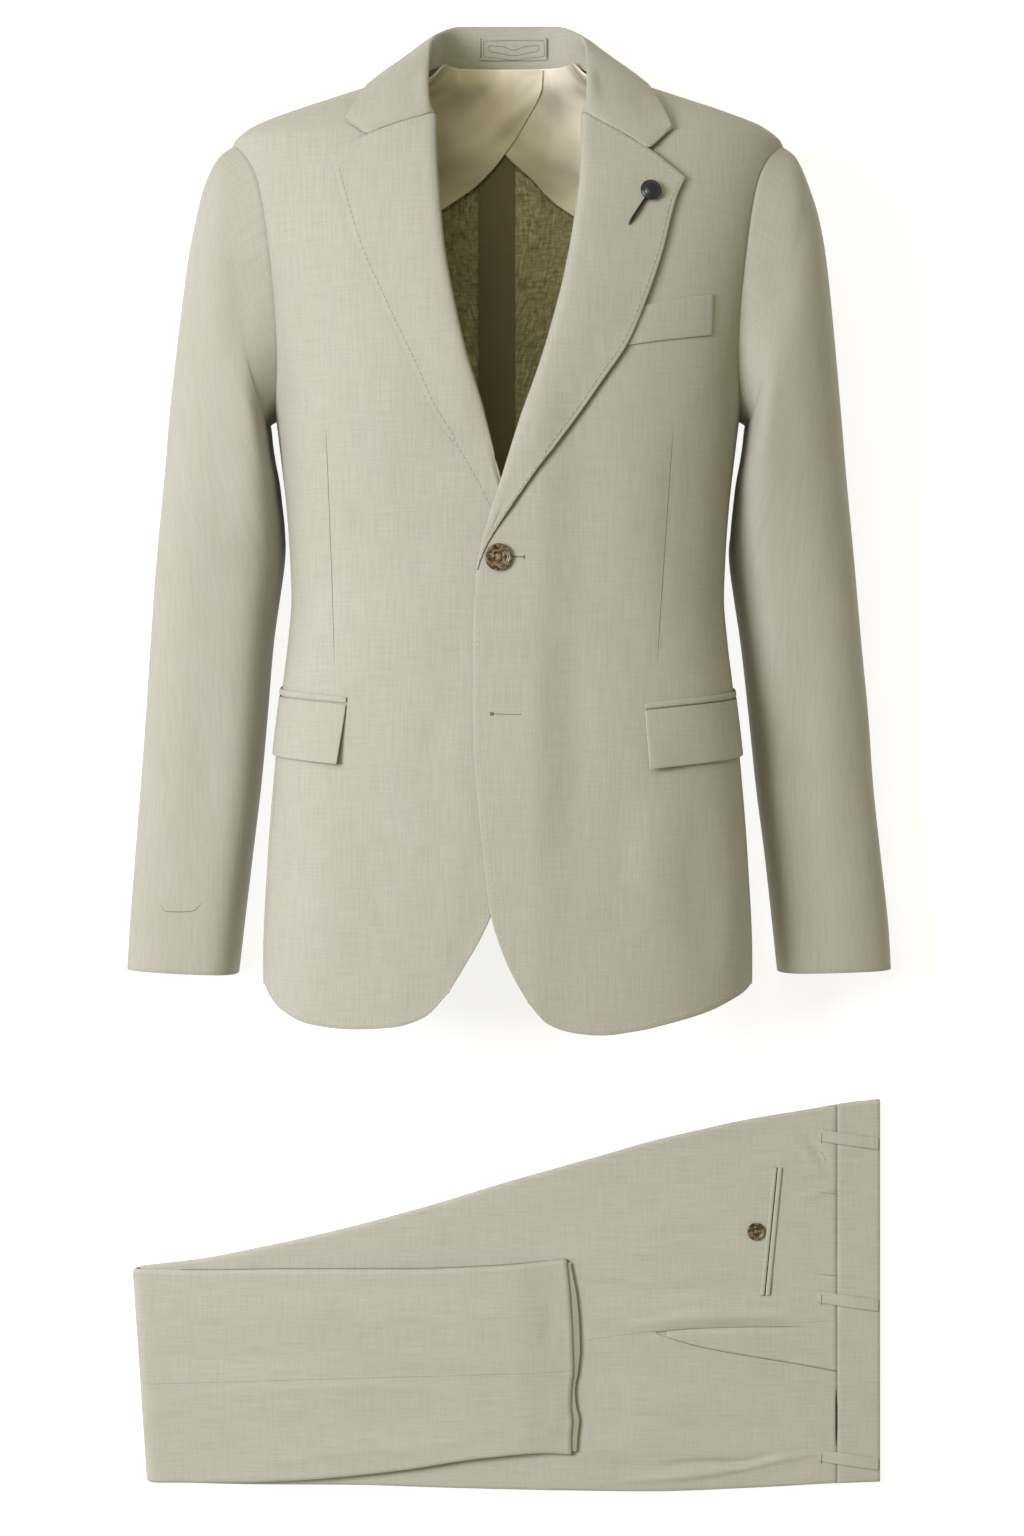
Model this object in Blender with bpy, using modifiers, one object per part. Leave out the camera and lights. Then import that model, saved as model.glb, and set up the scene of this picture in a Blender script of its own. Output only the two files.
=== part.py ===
"""Two-piece linen suit laid out: a jacket that keeps its worn form, and folded trousers below it.

Metres, +Z up. The jacket lies on its back with the collar towards +Y and the wearer's left at +X.
Its body is one surface, a rounded section for each height. Every panel, flap and welt is a patch of
that surface between two seams, given as an angle round the body and a height.
"""
import math

import bpy
import numpy as np
from mathutils import Vector
from mathutils.bvhtree import BVHTree

for old in list(bpy.data.objects):
    bpy.data.objects.remove(old, do_unlink=True)

MM = 0.001
CLOTH = 0.0016          # shell cloth
FOLDED = 0.0020         # lapel and collar: two layers pressed together
THIN = 0.0010           # lining, tape and jets
SEAM = 0.0003           # each piece stops this far short of a seam
LAID = 0.0007           # gap below what lies on the body

# ---------------------------------------------------------------- materials and the collection


def material(name, colour, roughness):
    made = bpy.data.materials.new(name)
    made.use_nodes = True
    shader = made.node_tree.nodes["Principled BSDF"]
    shader.inputs["Base Color"].default_value = (*colour, 1)
    shader.inputs["Roughness"].default_value = roughness
    shader.inputs["Metallic"].default_value = 0
    return made


LINEN = ((.56, .53, .44), .95)
LINING = ((.55, .50, .38), .60)
HORN = ((.10, .065, .035), .35)
ENAMEL = ((.02, .02, .025), .30)

SUIT = bpy.data.collections.new("two_piece_suit")
bpy.context.scene.collection.children.link(SUIT)
ROOT = bpy.data.objects.new("suit_root", None)
SUIT.objects.link(ROOT)


def add(name, data, finish):
    ob = bpy.data.objects.new(name, data)
    ob.data.materials.append(material(name, *finish))
    ob.parent = ROOT
    SUIT.objects.link(ob)
    return ob


# ---------------------------------------------------------------- tables and curves


def table(names, *rows):
    a = np.array(rows, float)
    return {name: a[:, i] for i, name in enumerate(names.split())}


def smooth(x, y, at):
    """Monotone cubic through the rows of a table, so that a few sections give a fair line."""
    at = np.clip(np.asarray(at, float), x[0], x[-1])
    h = np.diff(x)
    d = np.diff(y) / h
    m = np.zeros(len(x))
    for i in range(1, len(x) - 1):
        if d[i - 1] * d[i] > 0:
            w1, w2 = 2 * h[i] + h[i - 1], h[i] + 2 * h[i - 1]
            m[i] = (w1 + w2) / (w1 / d[i - 1] + w2 / d[i])
    m[0], m[-1] = d[0], d[-1]
    i = np.clip(np.searchsorted(x, at) - 1, 0, len(h) - 1)
    t = (at - x[i]) / h[i]
    return ((1 + 2 * t) * (1 - t) ** 2 * y[i] + t * (1 - t) ** 2 * h[i] * m[i]
            + t * t * (3 - 2 * t) * y[i + 1] + t * t * (t - 1) * h[i] * m[i + 1])


def path(points, at, keys=None):
    """Points at 0..1 along a line, by its length or by a key for each of its rows."""
    p = np.array(points, float)
    if keys is None:
        keys = np.concatenate([[0], np.cumsum(np.linalg.norm(np.diff(p, axis=0), axis=1))])
        keys = keys / keys[-1]
    keys = np.array(keys, float)
    return np.stack([smooth(keys, p[:, k], at) for k in range(p.shape[1])], axis=-1)


def along(points, n):
    return path(points, np.linspace(0, 1, n))


def step(a, b, x):
    t = np.clip((np.asarray(x, float) - a) / (b - a), 0, 1)
    return t * t * (3 - 2 * t)


def coons(left, right, low, high):
    """Fills four edges: left and right run up the rows, low and high run across the columns."""
    v = np.linspace(0, 1, len(left))[:, None, None]
    u = np.linspace(0, 1, len(low))[None, :, None]
    return ((1 - u) * left[:, None] + u * right[:, None] + (1 - v) * low[None] + v * high[None]
            - ((1 - u) * (1 - v) * low[0] + u * (1 - v) * low[-1]
               + (1 - u) * v * high[0] + u * v * high[-1]))


# ---------------------------------------------------------------- the worn form of the jacket

# half: half the width. ridge: height of the widest place. front, back: height at the middle
TORSO = table("height half ridge front back",
              (-.215, .1975, .098, .190, .000),
              (-.164, .1982, .098, .193, .000),
              (-.080, .1944, .098, .197, .000),
              (.001, .1880, .098, .198, .000),
              (.056, .1826, .098, .197, .000),
              (.094, .1780, .098, .197, .000),
              (.129, .1752, .098, .198, .000),
              (.161, .1763, .098, .200, .000),
              (.197, .1787, .098, .204, .000),
              (.251, .1846, .098, .211, .000),
              (.286, .1890, .098, .215, .000),
              (.332, .1950, .099, .217, .000),
              (.381, .2035, .100, .215, .000),
              (.426, .2125, .101, .208, .000),
              (.468, .2195, .102, .195, .002),
              (.494, .2225, .102, .184, .006),
              (.506, .2110, .102, .176, .009),
              (.519, .1810, .102, .166, .012),
              (.532, .1440, .102, .154, .016),
              (.545, .1080, .101, .138, .020),
              (.553, .0860, .100, .125, .023),
              (.561, .0680, .099, .112, .026),
              (.578, .0550, .096, .100, .032))
ROUND_FRONT, ROUND_BACK = 2.6, 3.6      # 2 is an ellipse, more is squarer
PRESSED = 1.012                         # the back is pressed flat where it lies
SHOULDER = .494                         # height of the shoulder tip
NECK_SIDE = .553                        # height where the shoulder seam meets the collar
HEM_SIDE = -.182                        # height of the hem at the side and back
HEM_ARCH, ARCH_HALF = .054, .045        # how far the back's hem rises in the middle, and over what width

# the wearer's left front stands off to pass over the right front and the lower button
OVERLAP = table("height off", (-.22, .0026), (-.14, .0030), (-.02, .0056), (.20, .0056), (.30, 0))
OVERLAP_ENDS = (.035, .095)


def column(name, y):
    return smooth(TORSO["height"], TORSO[name], y)


def front_z(x, y):
    r = np.clip(np.abs(x) / column("half", y), 0, 1)
    rise = column("front", y) - column("ridge", y)
    return column("ridge", y) + rise * (1 - r ** ROUND_FRONT) ** (1 / ROUND_FRONT)


def angle_at(x, y):
    """Angle round the body of a place on the front: 0 in the middle, 90 degrees at the side."""
    return np.arctan2(np.asarray(x, float), front_z(x, y) - column("ridge", y))


def stand_off(a, y):
    x = column("half", y) * np.sin(a)
    off = smooth(OVERLAP["height"], OVERLAP["off"], y) * (1 - step(*OVERLAP_ENDS, x))
    return off * (np.cos(a) > 0) * step(-.2, -.1, x)


def bare(a, y, left):
    a, y = np.broadcast_arrays(np.asarray(a, float), np.asarray(y, float))
    s, c = np.sin(a), np.cos(a)
    half, ridge = column("half", y), column("ridge", y)
    n = np.where(c >= 0, ROUND_FRONT, ROUND_BACK)
    b = np.where(c >= 0, column("front", y) - ridge, (ridge - column("back", y)) * PRESSED)
    r = ((np.abs(s) / half) ** n + (np.abs(c) / b) ** n) ** (-1 / n)
    z = np.maximum(ridge + r * c, 0)
    if left:
        z = z + stand_off(a, y)
    return np.stack([r * s, y, z], axis=-1)


def torso(a, y, out=0.0, left=False):
    """Point of the worn form at angle a and height y, moved out along the normal."""
    a, y = np.asarray(a, float), np.asarray(y, float)
    p = bare(a, y, left)
    across = bare(a + 5e-4, y, left) - bare(a - 5e-4, y, left)
    up = bare(a, y + 1e-4, left) - bare(a, y - 1e-4, left)
    n = np.cross(up, across)
    n /= np.linalg.norm(n, axis=-1, keepdims=True)
    core = np.stack([0 * y, y - .2 * (y > SHOULDER), 0 * y + .1], axis=-1)
    n = np.where(np.sum(n * (p - core), axis=-1, keepdims=True) < 0, -n, n)
    return p + n * np.asarray(out)[..., None]


def mirrored(grid):
    return grid * np.array([-1, 1, 1])


# ---------------------------------------------------------------- walls of cloth


def short_of_seams(grid, gap):
    """Draws the border of a grid in along the cloth."""
    def moved(border, inner):
        d = inner - border
        return border + d / np.maximum(np.linalg.norm(d, axis=-1, keepdims=True), 1e-9) * gap
    g = grid.copy()
    g[0], g[-1] = moved(grid[0], grid[1]), moved(grid[-1], grid[-2])
    h = g.copy()
    h[:, 0], h[:, -1] = moved(g[:, 0], g[:, 1]), moved(g[:, -1], g[:, -2])
    return h


def wall(name, grid, thick, outside, gap=SEAM, finish=LINEN, offset=0):
    """A wall of cloth: the grid is its middle surface, or its lower one with offset 1. outside
    gives the way that the face turns, once or for each point."""
    if gap:
        grid = short_of_seams(grid, gap)
    rows, cols = grid.shape[:2]
    faces = [(i * cols + j, i * cols + j + 1, (i + 1) * cols + j + 1, (i + 1) * cols + j)
             for i in range(rows - 1) for j in range(cols - 1)]
    mesh = bpy.data.meshes.new(name)
    mesh.from_pydata(grid.reshape(-1, 3).tolist(), [], faces)
    turned_to = np.cross(grid[:-1, 1:] - grid[:-1, :-1], grid[1:, :-1] - grid[:-1, :-1])
    if np.sum(turned_to * np.broadcast_to(outside, grid.shape)[:-1, :-1]) < 0:
        mesh.flip_normals()
    ob = add(name, mesh, finish)
    solidify = ob.modifiers.new("thickness", "SOLIDIFY")
    solidify.thickness = thick
    solidify.offset = offset
    return ob


UP = np.array([0, 0, 1.0])
MIDDLE = np.array([0, 0, .1])               # the middle of the body, seen along its length


def panel(name, domain, side, thick=CLOTH, out=0.0, gap=SEAM, passes_over=False):
    middle = out - thick / 2 + np.zeros(domain.shape[:-1])
    grid = torso(domain[..., 0], domain[..., 1], middle, passes_over)
    if side < 0:
        grid = mirrored(grid)
    return wall(name, grid, thick, (grid - MIDDLE) * np.array([1, 0, 1]), gap)


def on_front(places):
    """Places x, y on the front in millimetres, as angle and height."""
    p = np.array(places, float) * MM
    return np.stack([angle_at(p[:, 0], p[:, 1]), p[:, 1]], axis=-1)


# ---------------------------------------------------------------- shared seams of the body

# angle at the hem, and place on the armhole, of the seams before and behind the side body
FRONT_SEAM, BACK_SEAM = (82.0, 157.0), (118.0, 220.0)
ARMHOLE_MIDDLE, ARMHOLE_HALF, ARMHOLE_REACH = .385, .109, 18.3
NECK = table("degrees height", (38.8, .502), (64, .534), (90, NECK_SIDE), (118, .567), (150, .574),
             (180, .575))
NECK = np.stack([np.radians(NECK["degrees"]), NECK["height"]], axis=-1)
NECK_BACK = NECK[-1, 1]
ROWS, SEAM_ROWS, ARM_ROWS = 26, 14, 9       # rows up a front: in all, below the armhole, beside it


def armhole(t):
    """Armhole: t 0 at the shoulder tip, 90 in front, 180 under the arm, 270 behind."""
    t = np.radians(np.asarray(t, float))
    s, c = np.sin(t), np.cos(t)
    a = np.radians(90 - ARMHOLE_REACH * np.sign(s) * np.abs(s) ** .8)
    y = ARMHOLE_MIDDLE + ARMHOLE_HALF * np.sign(c) * np.abs(c) ** .85
    return np.stack([a, y], axis=-1)


def seam_line(seam, n):
    t = np.linspace(0, 1, n)[:, None]
    return np.array([math.radians(seam[0]), HEM_SIDE]) * (1 - t) + armhole(seam[1]) * t


def outer_edge(seam, tip):
    """Side seam, armhole and shoulder seam: the outer side of a front or back."""
    arm = armhole(np.linspace(seam[1], tip, ARM_ROWS + 1))
    y = np.linspace(SHOULDER, NECK_SIDE, ROWS - SEAM_ROWS - ARM_ROWS)
    top = np.stack([np.full(len(y), math.pi / 2), y], axis=-1)
    return np.concatenate([seam_line(seam, SEAM_ROWS + 1)[:-1], arm[:-1], top])


# edges of the fronts in millimetres, x from the middle: from the rounded corner of the hem up the
# front edge and the roll line to the neck, and from that corner along the hem
EDGE = {1: [(16, -191), (2, -166), (-7, -144), (-14, -119), (-19, -77), (-23, -38), (-26, -1),
            (-27, 45), (-27, 84), (-26, 123), (-24, 146), (-19, 166), (-8, 195), (12, 251),
            (25, 288), (38, 330), (49, 373), (56, 411), (61, 450), (62, 502)],
        -1: [(46, -183), (32, -160), (21, -141), (13, -124), (-4, -79), (-17, -17), (-21, 45),
             (-22, 100), (-22, 138), (-16, 152), (-8, 166), (7, 209), (18, 246), (28, 282),
             (38, 317), (47, 357), (54, 397), (58, 439), (60, 470), (61, 502)]}
HEM = {1: [(16, -191), (32, -208), (52, -215), (74, -217), (102, -214), (130, -208), (159, -200),
           (178, -192)],
       -1: [(46, -183), (66, -203), (91, -211), (125, -213), (157, -210), (180, -200)]}
BREAK = {1: 10, -1: 9}                      # row of EDGE where the lapel starts to turn
FRONT_COLS, SIDE_COLS, BACK_COLS = 11, 5, 8


def front(name, side):
    right = outer_edge(FRONT_SEAM, 0)
    left = along(on_front(EDGE[side]), len(right))
    left[-1] = NECK[0]
    low = along(np.concatenate([on_front(HEM[side]), right[:1]]), FRONT_COLS)
    low[0] = left[0]
    panel(name, coons(left, right, low, along(NECK[:3], FRONT_COLS)), side, passes_over=side > 0)


def side_body(name, side):
    low = np.linspace(seam_line(FRONT_SEAM, 2)[0], seam_line(BACK_SEAM, 2)[0], SIDE_COLS)
    high = armhole(np.linspace(FRONT_SEAM[1], BACK_SEAM[1], SIDE_COLS))
    fore, hind = seam_line(FRONT_SEAM, SEAM_ROWS + 1), seam_line(BACK_SEAM, SEAM_ROWS + 1)
    panel(name, coons(fore, hind, low, high), side)


def back(name, side):
    right = outer_edge(BACK_SEAM, 360)
    left = np.linspace((math.pi, HEM_SIDE + HEM_ARCH), (math.pi, NECK_BACK), len(right))
    a = np.linspace(math.pi, right[0, 0], BACK_COLS)
    x = torso(a, np.full(BACK_COLS, HEM_SIDE))[:, 0]
    low = np.stack([a, HEM_SIDE + HEM_ARCH * np.exp(-(x / ARCH_HALF) ** 2)], axis=-1)
    panel(name, coons(left, right, low, along(NECK[2:][::-1], BACK_COLS)), side)


WEARER = ((1, "left"), (-1, "right"))
for side, word in WEARER:
    front("front_" + word, side)
    side_body("side_" + word, side)
    back("back_" + word, side)

# ---------------------------------------------------------------- sleeves

# a row for each ring: outer place, inner place, height of the middle, half the depth
RINGS = "xo yo xi yi mid deep"
SLEEVE = {1: table(RINGS,
                   (.2331, .4797, .1945, .2700, .1000, .0640),
                   (.2445, .4570, .1935, .2620, .0985, .0660),
                   (.2519, .4318, .1925, .2530, .0965, .0680),
                   (.2577, .3988, .1905, .2400, .0935, .0700),
                   (.2640, .3450, .1875, .2240, .0885, .0710),
                   (.2705, .2830, .1855, .2060, .0820, .0700),
                   (.2760, .2300, .1838, .1870, .0755, .0670),
                   (.2840, .1600, .1832, .1600, .0670, .0610),
                   (.2909, .0950, .1930, .0955, .0590, .0555),
                   (.2974, .0368, .2000, .0368, .0530, .0515),
                   (.3022, -.0226, .2064, -.0226, .0490, .0485),
                   (.3088, -.0814, .2140, -.0814, .0470, .0465),
                   (.3150, -.1350, .2200, -.1350, .0455, .0450),
                   (.3175, -.1740, .2244, -.1764, .0450, .0440)),
          -1: table(RINGS,
                    (.2340, .4800, .1945, .2700, .1000, .0640),
                    (.2445, .4620, .1935, .2620, .0985, .0660),
                    (.2520, .4320, .1925, .2530, .0965, .0680),
                    (.2580, .4030, .1905, .2400, .0935, .0700),
                    (.2650, .3550, .1875, .2240, .0885, .0710),
                    (.2740, .2870, .1855, .2060, .0820, .0700),
                    (.2795, .2350, .1838, .1870, .0755, .0670),
                    (.2880, .1610, .1845, .1610, .0670, .0610),
                    (.2938, .0980, .1938, .0980, .0590, .0555),
                    (.2984, .0400, .1995, .0368, .0530, .0515),
                    (.3030, -.0140, .2050, -.0200, .0490, .0485),
                    (.3088, -.0839, .2128, -.0839, .0470, .0465),
                    (.3130, -.1350, .2190, -.1350, .0455, .0450),
                    (.3155, -.1740, .2240, -.1780, .0450, .0440))}
ROUND_SLEEVE = 2.35
# the rings share the panels' own places on the armhole, so the seam is even
RING_ANGLES = np.concatenate([np.linspace(0, FRONT_SEAM[1], ARM_ROWS + 1)[:-1],
                              np.linspace(FRONT_SEAM[1], BACK_SEAM[1], SIDE_COLS),
                              np.linspace(BACK_SEAM[1], 360, ARM_ROWS + 1)[1:-1]])
FORE_SEAM, HIND_SEAM = ARM_ROWS + 2, len(RING_ANGLES) - 3
SLEEVE_GAP = .0012                          # the sleeve starts this far outside the armhole
SLEEVE_SEAM = .0005


def sleeve_rings(side):
    t = SLEEVE[side]
    angle = np.radians(RING_ANGLES)
    c, s = np.cos(angle), np.sin(angle)
    c = np.sign(c) * np.abs(c) ** (2 / ROUND_SLEEVE)
    s = np.sign(s) * np.abs(s) ** (2 / ROUND_SLEEVE)
    rings = []
    for xo, yo, xi, yi, mid, deep in zip(*(t[k] for k in RINGS.split())):
        outer, inner = np.array([xo, yo]), np.array([xi, yi])
        reach = (outer - inner) / 2 * (1 - CLOTH / np.linalg.norm(outer - inner))
        z = mid + (deep - CLOTH / 2) * s
        rings.append(np.concatenate([(outer + inner) / 2 + reach * c[:, None], z[:, None]], axis=1))
    hole = torso(*armhole(RING_ANGLES).T, np.full(len(RING_ANGLES), -CLOTH / 2))
    d = rings[0] - hole
    g = np.array([hole + d / np.linalg.norm(d, axis=1, keepdims=True) * SLEEVE_GAP] + rings)
    g[..., 2] = np.maximum(g[..., 2], CLOTH / 2)
    return g if side > 0 else mirrored(g)


def sleeve(word, side):
    rings = sleeve_rings(side)
    away = rings - rings.mean(axis=1, keepdims=True)
    count = len(RING_ANGLES)
    for part, start, end in (("top", HIND_SEAM, FORE_SEAM), ("under", FORE_SEAM, HIND_SEAM)):
        k = [(start + i) % count for i in range((end - start) % count + 1)]
        wall("sleeve_%s_%s" % (part, word), rings[:, k], CLOTH, away[:, k], SLEEVE_SEAM)


for side, word in WEARER:
    sleeve(word, side)

# ---------------------------------------------------------------- lapels

# free edge from the break to the tip, and top edge from the roll line to the tip
LAPEL_EDGE = {1: [(-23, 149), (-18, 166), (-4, 185), (10, 202), (20, 220), (38, 241), (60, 272), (76, 296),
                  (92, 320), (105, 350), (119, 391), (131, 436), (138, 452)],
              -1: [(-11, 151), (-1, 163), (10, 185), (28, 220), (44, 246), (60, 272), (74, 304), (87, 331),
                   (103, 366), (114, 391), (128, 435), (135, 461), (138, 470)]}
LAPEL_TOP = {1: [(62, 500.5), (86, 487), (111, 473), (125, 462.5), (138, 452)],
             -1: [(61, 500.5), (86, 493.5), (110, 485.5), (124, 478), (138, 470)]}
# the lapel is low near the break, where the left front passes over the right lapel
LAPEL_LOW = {1: .80, -1: .35}
# section of the roll in millimetres: away from the roll line, and above the front
ROLL = table("away above", (-.9, -.8), (-3.2, -.5), (-4.6, 2.2), (-3.6, 5.0), (0, 6.6), (5.5, 6.9))
LIE = .0018                                 # middle of the lapel where it lies closest
LAPEL_FREE = .0036                          # middle of the lapel at its free edge
LAPEL_ROLL = .0069
LAPEL_FULL = .030                           # width of lapel that has the full roll
LAPEL_ROWS, LAPEL_COLS = 16, 7


def lapel(name, side):
    v = np.linspace(0, 1, LAPEL_ROWS)
    top = along(np.array(LAPEL_TOP[side], float) * MM, LAPEL_COLS + 1)
    roll = path(np.array(EDGE[side][BREAK[side]:-1] + [LAPEL_TOP[side][0]], float) * MM, v)
    free = path(np.array(LAPEL_EDGE[side], float) * MM, v)
    wide = np.linalg.norm(free - roll, axis=1)
    roll[-1], free[-1] = top[0], top[-1]
    size = np.clip(wide / LAPEL_FULL, .45, 1)
    high = LAPEL_LOW[side] + (1 - LAPEL_LOW[side]) * step(.12, .42, v)
    clear = .0012 * (1 - step(.25, .5, v))
    line = np.gradient(roll, axis=0)
    line /= np.linalg.norm(line, axis=1, keepdims=True)
    grid = []
    for i in range(LAPEL_ROWS):
        d = (free[i] - roll[i]) / wide[i]
        square = np.array([line[i][1], -line[i][0]])
        d = square + (d - square) * step(.8, 1, v[i])
        places, above = [], []
        for k, (away, rise) in enumerate(zip(ROLL["away"] * MM, ROLL["above"] * MM)):
            scale = size[i] if k else 1
            places.append(roll[i] + d * (away * scale - (clear[i] if away < 0 else 0)))
            rise = rise * size[i] * high[i] if k else rise
            above.append(max(rise, LIE) if away >= 0 else rise)
        start = ROLL["away"][-1] * MM * size[i] / wide[i]
        for u in np.linspace(start, 1, LAPEL_COLS + 1)[1:]:
            bend = path(top, u) - (top[0] + (top[-1] - top[0]) * u)
            places.append(roll[i] + (free[i] - roll[i]) * u + bend * v[i] ** 6)
            rise = LAPEL_FREE + (LAPEL_ROLL * size[i] - LAPEL_FREE) * (1 - step(start, 1, u))
            above.append(max(LIE, rise * high[i]))
        places = np.array(places)
        grid.append(torso(angle_at(places[:, 0], places[:, 1]), places[:, 1], np.array(above), side > 0))
    g = np.array(grid)
    wall(name, g if side > 0 else mirrored(g), FOLDED, UP)
    return g[-1]


LAPEL_END = {side: lapel("lapel_" + word, side) for side, word in WEARER}

# ---------------------------------------------------------------- collar

# a row for each place round the neck, from the middle of the back to the gorge: the fold at the
# top of the stand (f), and the free edge of the fall (e)
COLLAR = table("at fx fy fz ex ey ez",
               (0, 0, .6095, .037, 0, .5630, .0205),
               (.16, .022, .6093, .038, .030, .5625, .0212),
               (.30, .040, .6080, .042, .058, .5600, .0260),
               (.42, .0535, .6010, .054, .082, .5560, .0420),
               (.54, .0605, .5900, .078, .101, .5520, .0720),
               (.66, .0632, .5740, .106, .1100, .5470, .1060),
               (.78, .0635, .5540, .138, .1145, .5330, .1450),
               (.90, .0630, .5300, .171, .1230, .5120, .1720),
               (1.0, .0622, .5105, .1850, .1290, .4945, .1830))
NECK_PLACES = [0, .30, .48, .66, .84, 1.0]      # where the rows of NECK come, from the back
# the collar's end follows the lapel's top edge to the notch, then runs out to the collar's point
GORGE_POINTS = 10
COLLAR_POINT = {1: [(119, 483), (129, 494)], -1: [(117.5, 493), (127, 502)]}
END_FROM = [.93, .93, .90, .86, .86, .86] + [.80] * 6   # where each column starts to turn to the gorge
STAND_CLEAR, STAND_CLEAR_FRONT = .0016, .0026   # the stand starts inside the neckline
FALL_CLEAR = .0040                              # middle of the fall above the body
FOLD_WIDE = .0062
COLLAR_ROWS = 15


def clear_of_body(p, gap):
    """Pushes points out until they stand clear of the jacket's body."""
    top = NECK_BACK + .003
    x, y = p[..., 0], np.minimum(p[..., 1], top)
    half, ridge = column("half", y), column("ridge", y)
    z = p[..., 2] - ridge
    n = np.where(z >= 0, ROUND_FRONT, ROUND_BACK)
    b = np.where(z >= 0, column("front", y) - ridge, (ridge - column("back", y)) * PRESSED)
    out = ((np.abs(x) / half) ** n + (np.abs(z) / b) ** n) ** (1 / n)
    k = np.maximum(1, (1 + gap / np.maximum(np.hypot(x, z), 1e-6)) / np.maximum(out, 1e-6))
    k = np.where(p[..., 1] > top, 1, k)
    return np.stack([x * k, p[..., 1], ridge + z * k], axis=-1)


def collar_half(side):
    at = np.linspace(0, 1, COLLAR_ROWS)
    fold = np.stack([smooth(COLLAR["at"], COLLAR[k], at) for k in ("fx", "fy", "fz")], -1)
    edge = np.stack([smooth(COLLAR["at"], COLLAR[k], at) for k in ("ex", "ey", "ez")], -1)
    a, y = path(NECK[::-1], at, NECK_PLACES).T
    seam = torso(a, y, np.full(COLLAR_ROWS, -CLOTH / 2))
    inwards = np.cross(torso(a, y, np.full(COLLAR_ROWS, .001)) - torso(a, y), np.gradient(seam, axis=0))
    inwards /= np.linalg.norm(inwards, axis=1, keepdims=True)
    clear = STAND_CLEAR + (STAND_CLEAR_FRONT - STAND_CLEAR) * step(.8, .93, at)
    seam += inwards * (np.sign(inwards[0, 1]) * clear[:, None])
    x, y = np.array(COLLAR_POINT[side]).T * MM
    point = torso(angle_at(x, y), y, LAPEL_FREE, side > 0)
    last = np.concatenate([LAPEL_END[side][:GORGE_POINTS], point])
    last[0] += (last[1] - last[0]) * .6
    last[:, 1] += SEAM
    grid = []
    for i in range(COLLAR_ROWS):
        up, down = fold[i] - seam[i], edge[i] - fold[i]
        top = up / np.linalg.norm(up)
        away = (fold[i] - MIDDLE) * np.array([1, 0, 1])
        away /= np.linalg.norm(away)
        row = [seam[i], seam[i] + up * .35, seam[i] + up * .72, fold[i] - top * .004,
               fold[i] + away * .0008 + top * .0006, fold[i] + away * .0046 - top * .0006,
               fold[i] + away * FOLD_WIDE + down * .10]
        for u in (.28, .46, .64, .82, 1.0):
            row.append(fold[i] + down * u + away * (FOLD_WIDE * (1 - u) + .004 * math.sin(math.pi * u)))
        end = np.array([step(start, 1, at[i]) for start in END_FROM])[:, None]
        grid.append(np.array(row) * (1 - end) + last * end)
    g = np.array(grid)
    g[:, 6:] = clear_of_body(g[:, 6:], FALL_CLEAR)
    return g


COLLAR_GRID = np.concatenate([mirrored(collar_half(-1)[::-1])[:-1], collar_half(1)])
# the face turns up on the fall of the front, and away from the neck all round
wall("collar", COLLAR_GRID, FOLDED, UP * (np.arange(12) > 6)[None, :, None])

# ---------------------------------------------------------------- pockets of the jacket


def spread(front_top, rear_top, rear_low, front_low, cols, rows):
    """Four corners, each angle and height, as a grid from the low edge to the top edge."""
    top, low = np.linspace(front_top, rear_top, cols), np.linspace(front_low, rear_low, cols)
    return np.stack([low + (top - low) * t for t in np.linspace(0, 1, rows)])


WELT = on_front([(93, 347.5), (160, 363), (159, 331), (77, 316)])
WELT_THICK, FLAP_THICK = .0012, .0013
panel("breast_welt", spread(*WELT, 7, 3), 1, WELT_THICK, LAID + WELT_THICK, 0, True)

# front edge of each flap, top and bottom; how far the flap rises to the rear; where it ends
FLAP = {1: [(107, 37), (109, -9)], -1: [(126, 42), (131, -5)]}
FLAP_RISE = {1: .019, -1: .015}
FLAP_REAR = math.radians(106)
FLAP_HANG = .0016                           # the free edge stands off by this much at the front
JET_LOW, JET_HIGH = np.array([0, .0012]), np.array([0, .0062])
FLAP_COLS, FLAP_ROWS = 14, 4

for side, word in WEARER:
    top, low = on_front(FLAP[side])
    rise = FLAP_RISE[side]
    rear_top, rear_low = np.array([FLAP_REAR, top[1] + rise]), np.array([FLAP_REAR, low[1] + rise])
    hang = np.linspace(1, 0, FLAP_ROWS)[:, None] * np.linspace(1, .35, FLAP_COLS) * FLAP_HANG
    panel("flap_" + word, spread(top, rear_top, rear_low, low, FLAP_COLS, FLAP_ROWS), side, FLAP_THICK,
          LAID + FLAP_THICK + hang, 0, side > 0)
    jet = spread(top + JET_HIGH, rear_top + JET_HIGH, rear_top + JET_LOW, top + JET_LOW, FLAP_COLS, 2)
    panel("jet_" + word, jet, side, THIN, LAID + THIN, 0, side > 0)

# ---------------------------------------------------------------- buttons and the lapel pin


def turned(name, at, up, profile, finish, steps=16):
    """A turned piece: its profile, radius and height from the foot, spun about up."""
    mesh = bpy.data.meshes.new(name)
    profile = profile[::-1]
    mesh.from_pydata([(r, 0, h) for r, h in profile], [(i, i + 1) for i in range(len(profile) - 1)], [])
    ob = add(name, mesh, finish)
    ob.location = at
    ob.rotation_euler = Vector(up).to_track_quat("Z", "Y").to_euler()
    screw = ob.modifiers.new("turning", "SCREW")
    screw.steps = screw.render_steps = steps
    screw.use_merge_vertices = True
    screw.merge_threshold = 1e-5
    return ob


def button_profile(r, thick):
    return [(0, 0), (r * .62, 0), (r * .94, thick * .35), (r, thick * .68), (r * .93, thick),
            (r * .76, thick), (r * .62, thick * .72), (0, thick * .66)]


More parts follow.
